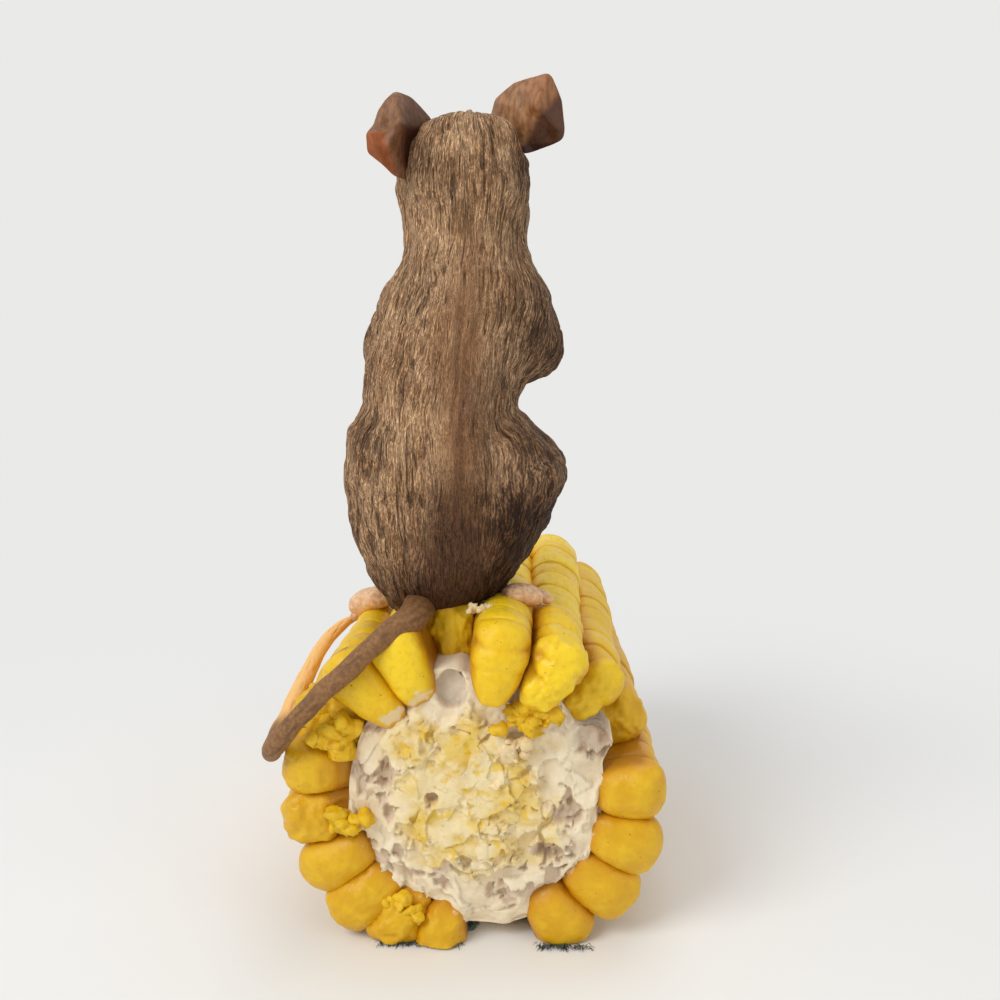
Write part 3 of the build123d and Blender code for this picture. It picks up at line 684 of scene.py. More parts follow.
def pith_face(y, outward, rings, hollows, seed):
    """Torn end of the core: even rings from the middle to the rim, moved along the axis by flakes and hollows."""
    share = np.linspace(0.004, 1, rings)[:, None]
    angle = np.linspace(-np.pi, np.pi, PITH_COLUMNS, endpoint=False)[None, :]
    radius = share * pith_rim(angle)
    across, upward = radius * np.sin(angle), radius * np.cos(angle)
    spots = np.stack([across, upward, np.zeros_like(across)], axis=-1)
    relief = 0.4 * torn_facets(across, upward, 5.0, seed) + 0.16 * torn_facets(across, upward, 2.5, seed + 20)
    relief = relief + 0.25 * soft_noise(spots / 1.8, seed + 30) + 0.05 * soft_noise(spots / 0.6, seed + 40)
    ragged = 0.22 * torn_facets(across, upward, 2.0, seed + 50) + 0.10 * soft_noise(spots / 1.2, seed + 51)
    oval = np.hypot((across - PLATEAU_MIDDLE[0]) / PLATEAU_SIZE[0], (upward - PLATEAU_MIDDLE[1]) / PLATEAU_SIZE[1])
    relief = relief + PLATEAU_LIFT * s_curve(1 - oval + ragged, -0.05, 0.08)
    sunk = s_curve(share + ragged, 0.74, 0.86) * s_curve(soft_noise(spots / 3.4, seed + 60), -0.1, 0.2)
    relief = relief - 0.9 * sunk
    for x, z, wide, tall, depth in hollows:
        hollow = s_curve(spot_at(across, upward, (x, z), (wide, tall)) + 0.8 * ragged, 0.3, 0.6)
        relief, sunk = relief - depth * hollow, np.maximum(sunk, hollow)
    pit = s_curve(spot_at(across, upward, PIT[:2], PIT[2:4]) + 0.3 * ragged, 0.32, 0.5)
    relief, sunk = relief * (1 - 0.7 * pit) - PIT[4] * pit, np.maximum(sunk, 2 * pit)
    for x, z, wide, tall, height in LUMPS:
        relief = relief + height * s_curve(spot_at(across, upward, (x, z), (wide, tall)) + ragged, 0.25, 0.6)
    relief = np.minimum(relief, PITH_INSET) * s_curve(1.02 - share, 0, 0.04)
    points = round_cob(radius, angle, y + outward * (relief - 1.1 * share**6))
    heart = s_curve(1.3 - oval + 0.35 * soft_noise(spots / 4, seed + 41), 0.0, 0.6)
    return points, (relief + 1.4) / 3.4, heart, sunk


near_face = pith_face(core_low[1] + PITH_INSET, -1, 170, HOLLOWS, 301)
far_face = pith_face(core_high[1] - PITH_INSET, 1, 60, (), 402)
pith_points, pith_high, pith_heart, pith_sunk = (np.concatenate([n, f[::-1]]) for n, f in zip(near_face, far_face))
make_piece(
    "torn_pith",
    [pith_points],
    pith_paint.material,
    ["cob_core"],
    {"high": [pith_high], "heart": [pith_heart], "sunk": [pith_sunk]},
)

# %% [markdown]
# ## Felt
# A pad of dark green felt covers the flat of the base. Felt is a mat of loose fibres, and they are what shows: a
# fuzzy fringe under the kernels. The pad is a thin rounded slab, drawn back a little at the near end, and the fringe
# is about two thousand tiny spikes.

# %% Felt
felt_paint = Paint("green_felt", {"Roughness": 0.95, "Specular IOR Level": 0.1, "Sheen Weight": 0.3})
fuzz = felt_paint.noise((0.5, 0.5, 0.5), 4)
felt_paint.feed({"Base Color": felt_paint.mix(fuzz.step(0.35, 0.65), colour(30, 44, 34), colour(84, 100, 86))})
felt_paint.bump(fuzz, 0.3)

felt_low, felt_high = box_mm("felt_pad")
felt_corners = node_points("felt_pad")
felt_far_half = felt_corners[felt_corners[:, 1] > felt_high[1] - 4, 0].max()
# Middle, half width and depth of the notch where a kernel is missing
FELT_NOTCH = (4.5, 4.5, 3.5)


def felt_edge(count):
    """Rounded tapering rectangle: a superellipse of power 14 whose half width runs from the near to the far end."""
    angle = np.linspace(0, 2 * np.pi, count, endpoint=False)
    size = (np.abs(np.cos(angle)) ** 14 + np.abs(np.sin(angle)) ** 14) ** (-1 / 14)
    y = felt_high[1] * size * np.sin(angle)
    half = np.interp(y, [felt_low[1], felt_high[1]], [felt_high[0], felt_far_half])
    x = half * size * np.cos(angle)
    notch = FELT_NOTCH[2] * s_curve(FELT_NOTCH[1] - np.abs(x - FELT_NOTCH[0]), -0.5, 1.0)
    return np.stack([x, np.maximum(y, felt_low[1] + FELT_INSET + notch)], axis=-1)


edge = felt_edge(320)
ragged = 1 - 0.012 * (1 + soft_noise(np.concatenate([edge, edge[:, :1] * 0], axis=-1) / 1.4, 77))
felt_rings = []
for inset, height in ((0.02, 0.0), (0.9, 0.0), (0.99, 0.0), (1.0, 0.35), (1.0, 0.8), (0.97, 1.0), (0.02, 1.0)):
    ring = edge * ragged[:, None] * inset
    felt_rings.append(np.concatenate([ring, np.full((len(edge), 1), height * FELT_TOP)], axis=-1))
make_piece("felt_mat", [np.array(felt_rings)], felt_paint.material, ["felt_pad"])

FIBRES = 1900
# Corners of the strip where the near heads stand on the ground, then the start and the width of the gap in it
HEAD_FOOT = ((-12.6, -30.0), (5.6, -29.2))
HEAD_GAP = (-1.6, 9.4)
draw = np.random.default_rng(8)
picks = draw.integers(0, len(edge), FIBRES)
roots = np.concatenate([edge[picks] * 0.975, draw.uniform(0.2, 0.95, (FIBRES, 1)) * FELT_TOP], axis=-1)
lean = edge[picks] / np.linalg.norm(edge[picks], axis=-1, keepdims=True) + draw.uniform(-0.6, 0.6, (FIBRES, 2))
in_front = roots[:, 1] < felt_low[1] + FELT_INSET + 1.2
under = draw.uniform(*HEAD_FOOT, (in_front.sum(), 2))
under[:, 0] = np.where(under[:, 0] > HEAD_GAP[0], under[:, 0] + HEAD_GAP[1], under[:, 0])
roots[in_front, :2] = under
roots[in_front, 2] *= 0.5
tips = roots + np.concatenate([lean * 0.7, draw.uniform(-0.3, 0.4, (FIBRES, 1))], axis=-1)
tips[:, 2] = np.maximum(tips[:, 2], 0.03)
third = np.linspace(0, 2 * np.pi, 3, endpoint=False)
spike = np.stack([np.cos(third), np.sin(third), np.zeros(3)], axis=-1)
fibres = [np.stack([r + 0.07 * spike, (r + t) / 2 + 0.05 * spike, t + 0.02 * spike]) for r, t in zip(roots, tips)]
make_piece("felt_fringe", fibres, felt_paint.material)

# %% [markdown]
# ## Fur
# The mouse's coat is not hair: the sculptor scratched fine strokes into the resin, washed dark brown into them and
# brushed tan over the ridges. So the fur is a relief. Noise that is long along the body and narrow across it gives
# strokes, and where it is low lies the bottom of a groove. The strokes follow the body as if it had been combed:
# each point is moved to a cylinder round the body's middle line, which keeps its height and its direction, and both
# the relief and the paint use the noise there.

# %% Fur paint
fur_paint = Paint("brushed_fur", {"Specular IOR Level": 0.25})
groove = fur_paint.mark("groove")
shade = fur_paint.mark("shade")
smooth = fur_paint.mark("smooth")
blush = fur_paint.mark("blush")
combed = fur_paint.mark("comb", "Vector")
patch = fur_paint.noise((3.4, 3.4, 6.0), 3)
hair = fur_paint.noise((0.17, 0.17, 1.5), 2, combed)
fuzz = fur_paint.noise((0.11, 0.11, 0.42), 1, combed)
long_hair = fur_paint.noise((0.30, 0.30, 7.0), 1, combed)
streaks = fur_paint.noise((0.9, 0.9, 14.0), 3, combed)
thick = 0.10 * (patch - 0.5) - 0.05 * shade + 0.09 * smooth
dash = 1 - (hair + thick).step(0.40, 0.46)
speck = 1 - (fuzz + thick).step(0.40, 0.47)
crack = 1 - (long_hair + thick).step(0.32, 0.39)
tan = fur_paint.mix(patch.step(0.38, 0.62), colour(206, 158, 114), colour(236, 190, 144))
spine_tone = fur_paint.mix(streaks.step(0.38, 0.62), colour(124, 83, 52), colour(168, 120, 80))
tan = fur_paint.mix(smooth * 0.9, tan, spine_tone)
coat = fur_paint.mix(shade, tan, colour(100, 65, 39))
ink = fur_paint.mix(shade, colour(100, 67, 41), colour(32, 17, 8))
ridge_tone = fur_paint.mix(shade, colour(236, 196, 152), colour(136, 95, 63))
coat = fur_paint.mix(hair.step(0.54, 0.66) * (1 - smooth) * 0.25, coat, ridge_tone)
coat = fur_paint.mix(speck * 0.5, coat, ink)
coat = fur_paint.mix(dash * (0.62 + 0.25 * shade), coat, ink)
coat = fur_paint.mix(crack * 0.7, coat, colour(54, 32, 19))
coat = fur_paint.mix(groove.step(0.3, 0.95) * 0.55, coat, colour(50, 31, 20))
coat = fur_paint.mix(blush, coat, colour(196, 132, 112))
fur_paint.feed({"Base Color": coat, "Roughness": 0.66 - 0.12 * smooth})
fur_paint.bump(hair.step(0.4, 0.56) + fuzz.step(0.4, 0.55) * 0.6 - crack * 0.5, 0.22)

# %% Combing and strokes
# Height, x and y of the body's middle line
BODY_LINE = np.array([
    (41.0, -4.6, -15.0),
    (55.0, -3.6, -14.6),
    (68.0, -4.0, -14.4),
    (83.0, -2.4, -13.6),
    (90.0, -1.8, -12.6),
    (110.0, -1.7, -12.0),
])
COMB_RADIUS = 11.0
# Width, length and weight of the scratches: gouges, strokes and fine hairs
STROKE_SIZES = ((0.7, 7.0, 0.6), (0.45, 3.4, 0.9), (0.36, 1.6, 0.7))


def comb(points):
    """The point of a cylinder that lies in the same direction from the body's middle line, at the same height."""
    x, y, z = np.moveaxis(points, -1, 0)
    middle_x, middle_y = np.moveaxis(smooth_between(z, BODY_LINE[:, 0], BODY_LINE[:, 1:]), -1, 0)
    away = np.stack([x - middle_x, y - middle_y], axis=-1)
    away = away / np.maximum(np.linalg.norm(away, axis=-1, keepdims=True), 1.0) * COMB_RADIUS
    wander = np.stack([soft_noise(points / 4.0, seed) for seed in (491, 492, 493)], axis=-1)
    return np.concatenate([away, z[..., None]], axis=-1) + wander * np.array([0.35, 0.35, 0.8])


def strokes(combed, points, depth, seed):
    """Dashes of three sizes where long narrow noise is low: returns the relief and the groove mark."""
    groove = np.zeros(combed.shape[:-1])
    for index, (width, length, weight) in enumerate(STROKE_SIZES):
        dash = soft_noise(combed / np.array([width, width, length]), seed + index)
        groove = np.maximum(groove, weight * s_curve(-dash, 0.25, 0.75))
    lumps = soft_noise(points / np.array([3.2, 3.2, 4.4]), seed + 9)
    tufts = soft_noise(points / np.array([1.1, 1.1, 1.6]), seed + 10)
    return depth * (1.1 * lumps + 0.8 * tufts - groove), groove


# %% [markdown]
# ## The mouse's bodies
# Trunk, head and thighs are soft ovals stacked along an axis. Each body also knows roughly how far a point is from
# its surface. That distance is what lets the trunk swell into a fillet where a thigh or an arm grows out of it.

# %% Bodies
UP = np.array([0.0, 0.0, 1.0])


class OvalStack:
    """Ovals along an axis: table rows are place, offset right, offset over, half width, half depth."""

    def __init__(self, origin, along, right, table):
        self.origin, self.along, self.right = (np.asarray(v, float) for v in (origin, along, right))
        self.over = np.cross(self.along, self.right)
        self.places = np.array([row[0] for row in table], float)
        self.ovals = np.array([row[1:] for row in table], float)

    def point(self, place, aside, over):
        steps = (place, self.along), (aside, self.right), (over, self.over)
        return self.origin + sum(np.asarray(size)[..., None] * direction for size, direction in steps)

    def skin(self, rings, columns):
        """The stack's own surface: an oval at each place, closer together where the ends close."""
        share = (1 - np.cos(np.pi * np.linspace(0.01, 0.99, rings))) / 2
        place = self.places[0] + share * (self.places[-1] - self.places[0])
        aside, over, wide, deep = smooth_between(place, self.places, self.ovals).T[..., None]
        angle = np.linspace(0, 2 * np.pi, columns, endpoint=False)
        return self.point(place[:, None], aside + wide * np.cos(angle), over + deep * np.sin(angle))

    def distance(self, points):
        """About how far points lie outside: the oval's own measure, and the way past either end."""
        local = points - self.origin
        place = local @ self.along
        aside, over, wide, deep = np.moveaxis(smooth_between(place, self.places, self.ovals), -1, 0)
        x, y = (local @ self.right - aside) / wide, (local @ self.over - over) / deep
        ratio = np.sqrt(x * x + y * y)
        slope = np.sqrt((x / wide) ** 2 + (y / deep) ** 2)
        out = ratio * (ratio - 1) / np.maximum(slope, 1e-6)
        past = place - np.clip(place, self.places[0], self.places[-1])
        return np.where(past == 0, out, np.hypot(np.maximum(out, 0), past))


def limb_distance(points, start, stop, start_radius, stop_radius):
    """Distance to a round limb: to the nearest point of its middle line, less the radius there."""
    run = stop - start
    share = np.clip((points - start) @ run / (run @ run), 0, 1)
    nearest = start + share[..., None] * run
    return np.linalg.norm(points - nearest, axis=-1) - (start_radius + share * (stop_radius - start_radius))


def blend(first, second, width):
    """Smooth union of two distances: the smaller one, lowered where they are within width of each other."""
    near = np.maximum(width - np.abs(first - second), 0) / width
    return np.minimum(first, second) - near * near * width / 4


# Origin, axis and right-hand side of a body that stands upright
UPRIGHT = ((0, 0, 0), UP, (1, 0, 0))
# Height, middle x, middle y, half width and half depth of the ovals, from the seat to the neck
trunk = OvalStack(
    *UPRIGHT,
    (
        (41.4, -4.9, -17.1, 4.6, 5.3),
        (47.2, -4.8, -16.3, 8.2, 9.6),
        (53.9, -4.6, -15.6, 9.6, 11.4),
        (61.6, -4.6, -15.4, 10.0, 11.6),
        (69.7, -5.1, -15.2, 10.0, 11.0),
        (76.9, -3.8, -15.2, 10.4, 10.0),
        (82.7, -2.3, -14.9, 9.9, 9.2),
        (87.0, -1.9, -14.3, 8.0, 8.2),
        (90.5, -1.7, -13.6, 7.0, 7.4),
        (94.0, -1.7, -13.0, 6.0, 6.0),
        (97.0, -1.7, -12.8, 4.2, 4.2),
    ),
)
thigh_right = OvalStack(
    *UPRIGHT,
    (
        (40.8, 0.4, -13.1, 2.2, 5.2),
        (44.0, 0.8, -13.3, 2.9, 6.9),
        (49.5, 2.6, -13.9, 4.5, 8.9),
        (55.3, 4.0, -14.6, 5.8, 10.4),
        (61.4, 4.8, -15.1, 6.6, 9.9),
        (66.4, 4.2, -15.4, 2.5, 6.9),
        (68.6, 3.0, -15.4, 0.9, 2.9),
    ),
)
thigh_left = OvalStack(
    *UPRIGHT,
    (
        (40.8, -8.5, -13.7, 3.3, 5.4),
        (44.0, -9.4, -13.9, 4.7, 7.3),
        (49.5, -10.4, -14.4, 5.8, 9.4),
        (55.3, -10.9, -14.8, 6.4, 10.4),
        (61.4, -11.2, -15.1, 6.6, 9.9),
        (66.6, -11.2, -15.4, 4.8, 7.1),
        (69.2, -10.7, -15.4, 2.0, 3.3),
    ),
)
HEAD_TURN, HEAD_DIP = np.radians((22.0, 6.0))
head_ahead = np.array([-np.sin(HEAD_TURN) * np.cos(HEAD_DIP), np.cos(HEAD_TURN) * np.cos(HEAD_DIP), -np.sin(HEAD_DIP)])
head_right = np.array([np.cos(HEAD_TURN), np.sin(HEAD_TURN), 0.0])
HEAD_CENTRE = np.array([-1.7, -13.3, 96.9])
# Place ahead of the middle of the skull, offsets, half width and half height, from the nape to the nose
skull = OvalStack(
    HEAD_CENTRE,
    head_ahead,
    head_right,
    (
        (-8.4, 0, 0.2, 0.6, 0.6),
        (-8.0, 0, 0.2, 3.0, 3.2),
        (-6.4, -0.4, 0.0, 6.0, 6.9),
        (-3.1, -0.5, 0.0, 7.5, 9.0),
        (0.0, -0.5, 0.0, 7.8, 9.5),
        (4.2, -0.3, 0.5, 7.7, 8.7),
        (8.3, 0, 1.4, 6.3, 6.6),
        (12.5, 0, 2.4, 4.1, 4.7),
        (16.1, 0, 3.1, 2.5, 2.8),
        (18.2, 0, 3.3, 1.3, 1.4),
    ),
)
print("head looks along", head_ahead.round(2), "over is", skull.over.round(2))

# %% [markdown]
# ## Arms
# The arms hang from the shoulders, fold at the elbows and meet at the chest. Each is one tube: circles carried along
# a smooth curve through shoulder, elbow, wrist and paw, with four finger tubes on the paw.

# %% Tubes
def tube(stations, radii, rings, columns, flat=1.0):
    """Circles carried along a smooth curve: each ring stands square to the curve, and the last ones close round."""
    stations = np.asarray(stations, float)
    steps = np.concatenate([[0], np.cumsum(np.linalg.norm(np.diff(stations, axis=0), axis=1))])
    place = np.linspace(0, steps[-1], rings)
    middle = smooth_between(place, steps, stations)
    radius = smooth_between(place, steps, np.asarray(radii, float)[:, None])[:, 0]
    cap = radius[-1]
    radius = radius * np.sqrt(np.clip(1 - np.clip((place - (steps[-1] - cap)) / cap, 0, 0.995) ** 2, 0, 1))
    ahead = np.gradient(middle, axis=0)
    ahead /= np.linalg.norm(ahead, axis=1, keepdims=True)
    side = np.cross(ahead, UP + 1e-3)
    side /= np.linalg.norm(side, axis=1, keepdims=True)
    over = np.cross(side, ahead)
    angle = np.linspace(0, 2 * np.pi, columns, endpoint=False)
    ring = np.cos(angle)[:, None] * side[:, None] + flat * np.sin(angle)[:, None] * over[:, None]
    return middle[:, None] + radius[:, None, None] * ring


CHEST = np.array([-2.29, -15.4, 44.29])
ARM_STATIONS = np.array([(6.6, 0, 36.6), (9.1, 1.4, 32.1), (4.0, 15.2, 37.4), (3.2, 17.4, 39.0)])
ARM_RADII = (4.4, 4.1, 1.7, 1.8)
# Shift of each arm, and width of the fillet where it leaves the trunk: 1 is right and -1 is left
ARM_SHIFT = {1: np.zeros(3), -1: np.array([0.6, 0, 0])}
ARM_FILLET = {1: 4.6, -1: 2.0}


def arm_line(side):
    return CHEST + ARM_STATIONS * np.array([side, 1, 1]) + ARM_SHIFT[side]


# %% [markdown]
# ## Trunk
# The trunk is cut by rays: from the body's middle line a ray goes out level in every direction, and walks until the
# smooth union of trunk, thighs, arms and head is left behind. A lip keeps it from running up the limbs themselves,
# because they are pieces of their own.

# %% Trunk
TRUNK_RINGS, TRUNK_COLUMNS = 264, 340
LIP = 3.4
FUR_SEED = 500
FUR_DEPTH = 0.3


def trunk_field(points):
    """Below 0 inside: trunk blended into its limbs, but never more than the lip outside the trunk itself."""
    own = trunk.distance(points)
    union = blend(blend(own, thigh_right.distance(points), 2.2), thigh_left.distance(points), 3.4)
    for side in (1, -1):
        shoulder, elbow = arm_line(side)[:2]
        union = blend(union, limb_distance(points, shoulder, elbow, ARM_RADII[0], ARM_RADII[1]), ARM_FILLET[side])
    union = blend(union, skull.distance(points), 4.0)
    return np.maximum(union, own - LIP)


def cast_out(starts, directions, field, reach, steps):
    """First distance along each ray at which the field turns positive, by even steps and a straight line between."""
    found = np.full(starts.shape[:-1], reach)
    before = field(starts)
    for index in range(1, steps + 1):
        way = reach * index / steps
        after = field(starts + directions * way)
        crossing = (before <= 0) & (after > 0) & (found == reach)
        share = before / np.where(before == after, 1, before - after)
        found = np.where(crossing, way - reach / steps * (1 - share), found)
        before = after
    return found


share = np.linspace(0.004, 0.985, TRUNK_RINGS)
height = trunk.places[0] + share * (trunk.places[-1] - trunk.places[0])
middle_x, middle_y = smooth_between(height, trunk.places, trunk.ovals)[:, :2].T
level = np.linspace(0, 2 * np.pi, TRUNK_COLUMNS, endpoint=False)
starts = np.stack(np.broadcast_arrays(middle_x[:, None], middle_y[:, None], height[:, None]), axis=-1)
starts = np.broadcast_to(starts, (TRUNK_RINGS, TRUNK_COLUMNS, 3))
directions = np.stack(np.broadcast_arrays(np.cos(level), np.sin(level), 0 * level), axis=-1)
directions = np.broadcast_to(directions, starts.shape)
trunk_points = starts + directions * cast_out(starts, directions, trunk_field, 20.0, 50)[..., None]


def coat_marks(points):
    """Smooth band down the spine, and painted shade: low on the rump, at the seat, on both sides and under the ears,
    with a random darker tone mixed in.
    """
    x, y, z = np.moveaxis(points, -1, 0)
    spine_x = np.interp(z, [44, 52, 64, 76, 88, 100], [-3.8, -2.6, -1.6, -1.4, -1.0, -1.4])
    band = np.interp(z, [44, 52, 64, 76, 84, 92, 104], [4.6, 3.9, 3.1, 2.7, 2.0, 1.7, 1.2])
    behind = s_curve(-y, 13.0, 18.0)
    drift = 1.2 * soft_noise(points / 3.0, 494)
    smooth = np.exp(-(((x - spine_x + drift * 0.5) / band) ** 2)) * behind * s_curve(94 - z, 0, 14)
    low = s_curve(64 - z, 0, 12) * np.exp(-(((x - spine_x) / 5.4) ** 2)) * behind
    seat = s_curve(50 - z, 0, 6)
    right = s_curve(x + drift - 0.10 * (z - 70), -1.0, 9.0) * s_curve(108 - z, 0, 20)
    haunch = s_curve(x + drift, 1.0, 6.0) * s_curve(62 - z, 0, 14)
    left_edge = s_curve(-x + drift, 10.0, 14.5)
    # A darker tone that varies at random is mixed into the shade mark.
    grey = np.clip(soft_noise(points / np.array([4.0, 4.0, 6.0]), 495), 0, 1)
    under_ears = spot_at(x, z, (-7.4, 98.4), (2.6, 2.8)) + spot_at(x, z, (5.8, 98.0), (2.0, 3.4))
    total = 1.0 * low + 0.5 * seat + 0.6 * right + 0.85 * haunch + 0.25 * left_edge + 0.25 * grey + 0.6 * under_ears
    return smooth, np.clip(total, 0, 1)


def furred(points, depth):
    """Moves a surface along its normals by the strokes, which fade on the smooth band of the spine."""
    combed = comb(points)
    smooth, shade = coat_marks(points)
    relief, groove = strokes(combed, points, depth, FUR_SEED)
    fade = 1 - 0.75 * smooth
    moved = points + grid_normals(points) * (relief * fade)[..., None]
    bare = np.zeros_like(shade)
    marks = {"groove": groove * fade, "shade": shade, "smooth": smooth, "blush": bare, "comb": combed * MM}
    return moved, marks


def listed(*parts):
    """Marks of several shells, gathered into one list for each mark."""
    return {key: [part[key] for part in parts] for key in parts[0]}


trunk_points, trunk_marks = furred(trunk_points, FUR_DEPTH)


def seated(points):
    """Lifts what would sink into the kernels out to their crowns, so that the mouse sits in a saddle."""
    x, y, z = np.moveaxis(points, -1, 0)
    radius, angle = np.hypot(x, z - AXIS_HEIGHT), np.arctan2(x, z - AXIS_HEIGHT)
    saddle = round_cob(np.maximum(radius, crown_radius(y) - 0.8), angle, y)
    return np.where((np.abs(angle) < np.pi / 2)[..., None], saddle, points)


make_piece("fur_trunk", [seated(trunk_points)], fur_paint.material, ["torso"], listed(trunk_marks))

# %% Thighs
for side, body in (("right", thigh_right), ("left", thigh_left)):
    skin, marks = furred(body.skin(230, 230), FUR_DEPTH)
    make_piece("fur_thigh_" + side, [seated(skin)], fur_paint.material, ["haunch_" + side], listed(marks))

# %% Arms
FINGER_FAN = np.radians(np.linspace(-30, 60, 4))
PAW_BLUSH = 0.8
for side, name in ((1, "right"), (-1, "left")):
    line = arm_line(side)
    sleeve, marks = furred(tube(line, ARM_RADII, 220, 120), 0.25)
    bare = s_curve(sleeve[..., 1], -1.5, 1.0)
    marks["groove"] = marks["groove"] * (1 - bare)
    marks["blush"] = PAW_BLUSH * bare
    shells, arm_marks = [sleeve], [marks]
    for fan in FINGER_FAN:
        reach = np.array([-side * np.sin(fan), np.cos(fan) / 2, np.cos(fan)]) * 2.6
        knuckles = [line[-1] + reach * share for share in (0.0, 0.5, 1.0)]
        finger, marks = furred(tube(knuckles, (0.7, 0.62, 0.5), 18, 14), 0.0)
        marks["groove"] = 0 * marks["groove"]
        marks["blush"] = np.full(finger.shape[:2], PAW_BLUSH)
        shells.append(finger)
        arm_marks.append(marks)
    make_piece("fur_arm_" + name, shells, fur_paint.material, ["arm_" + name], listed(*arm_marks))

# %% [markdown]
# ## Head
# The head is turned to the left, so from behind only the back of the skull shows. The face is on the far side: a
# plain mouse's face, with a pale pink nose and bead eyes. The crown is a little flat between the ears. It is cut by
# rays from its middle, and the strokes are the trunk's own, so no seam shows at the neck.

# %% Head
HEAD_RINGS, HEAD_COLUMNS = 230, 330
CROWN_HEIGHT, CROWN_ROUND = 105.3, 3.0


def head_field(points):
    """Below 0 inside: the skull, cut off smoothly by a level plane at the crown."""
    return -blend(-skull.distance(points), -(points[..., 2] - CROWN_HEIGHT), CROWN_ROUND)


climb = np.linspace(-0.495, 0.495, HEAD_RINGS)[:, None] * np.pi
level = np.linspace(0, 2 * np.pi, HEAD_COLUMNS, endpoint=False)
directions = np.stack(
    np.broadcast_arrays(np.cos(climb) * np.cos(level), np.cos(climb) * np.sin(level), np.sin(climb)), axis=-1
)
starts = np.broadcast_to(HEAD_CENTRE + 2.0 * head_ahead, directions.shape)
head_points = starts + directions * cast_out(starts, directions, head_field, 20.0, 80)[..., None]
ahead_of_skull = (head_points - HEAD_CENTRE) @ head_ahead
nose = s_curve(ahead_of_skull, 15.8, 16.8)
lids = np.zeros(nose.shape)
for name in ("eye_right", "eye_left"):
    low, high = box_mm(name)
    away = np.linalg.norm(head_points - (low + high) / 2, axis=-1)
    lids = lids + 0.45 * np.exp(-(((away - 1.9) / 0.5) ** 2))
bare_head = head_points + grid_normals(head_points) * lids[..., None]
head_points, head_marks = furred(bare_head, FUR_DEPTH)
head_points = head_points + nose[..., None] * (bare_head - head_points)
head_marks["groove"] = head_marks["groove"] * (1 - nose)
head_marks["blush"] = nose
make_piece("fur_head", [head_points], fur_paint.material, ["head"], listed(head_marks))

# %% [markdown]
# ## Ears
# The ears are thin cupped leaves. Each is drawn as its outline seen from behind, a few corners joined by straight
# edges and rounded a little, and then hollowed: rings run from the middle of the back out to the rim, round it, and
# back to the middle of the inside.

# %% Ear paint
ear_paint = Paint("ear_skin", {"Specular IOR Level": 0.35})
warm = ear_paint.mark("warm")
ear_shade_and_tone = ear_paint.mark("ear_shade_and_tone")
grain = ear_paint.noise((0.6, 0.6, 2.0), 4)
skin_tone = ear_paint.mix(grain.step(0.3, 0.7), colour(128, 84, 50), colour(174, 126, 84))
skin_tone = ear_paint.mix(warm, skin_tone, colour(152, 80, 36))
# Painted shade in the ears' hollows and darker parts, over a darker brown tone that covers each ear.
skin_tone = ear_paint.mix(ear_shade_and_tone, skin_tone, colour(66, 34, 19))
inside = ear_paint.mark("inside")
skin_tone = ear_paint.mix(inside * 0.7, skin_tone, colour(206, 150, 126))
ear_paint.feed({"Base Color": skin_tone, "Roughness": 0.42 + 0.15 * grain})
ear_paint.bump(grain, 0.18)

# %% Ears
EAR_COLUMNS = 240
EAR_RINGS = 56
EAR_WALL = 0.9


def leaf_outline(corners, middle):
    """Distance from the middle to the edge in each direction: straight edges, rounded by a moving mean."""
    corners = np.array(corners, float)
    following = np.roll(corners, -1, axis=0)
    share = np.linspace(0, 1, 40, endpoint=False)[:, None]
    edge = np.concatenate([start + share * (stop - start) for start, stop in zip(corners, following)]) - middle
    angle = np.linspace(0, 2 * np.pi, EAR_COLUMNS, endpoint=False)
    order = np.argsort(np.arctan2(edge[:, 1], edge[:, 0]))
    edge = edge[order]
    radius = np.interp(angle, np.arctan2(edge[:, 1], edge[:, 0]), np.hypot(edge[:, 0], edge[:, 1]), period=2 * np.pi)
    return angle, sum(np.roll(radius, turn) for turn in range(-3, 4)) / 7


def ridge(x, z, start, stop, width, height):
    """A fold from start to stop: height times exp of minus the squared distance to that line, in widths."""
    run = np.subtract(stop, start)
    away = np.stack([x - start[0], z - start[1]], axis=-1)
    share = np.clip(away @ run / (run @ run), 0, 1)
    distance = np.linalg.norm(away - share[..., None] * run, axis=-1)
    return height * np.exp(-((distance / width) ** 2))


def ear_shell(corners, middle, depth_at_middle, slope, cup, folds, seed):
    """Leaf over its outline: y = sloping plane, less a cup of (1 - share^2), less the folds, twice for the wall."""
    angle, reach = leaf_outline(corners, middle)
    share = np.sin(np.linspace(0.02, np.pi / 2, EAR_RINGS))
    shells = []
    for wall in (0.0, EAR_WALL):
        radius = share[:, None] * (reach - 0.35 * (wall > 0))
        x, z = middle[0] + radius * np.cos(angle), middle[1] + radius * np.sin(angle)
        plane = depth_at_middle + slope[0] * (x - middle[0]) + slope[1] * (z - middle[1])
        y = plane - cup * (1 - share[:, None] ** 2) + wall
        for start, stop, width, height in folds:
            y = y - ridge(x, z, start, stop, width, height)
        shells.append(np.stack([x, y, z], axis=-1))
    points = np.concatenate([shells[0], shells[1][::-1]])
    points[..., 1] += 0.16 * soft_noise(points / 1.5, seed) + 0.05 * soft_noise(points / 0.5, seed + 1)
    inside = np.concatenate([np.zeros((EAR_RINGS, EAR_COLUMNS)), np.ones((EAR_RINGS, EAR_COLUMNS))])
    return points, inside


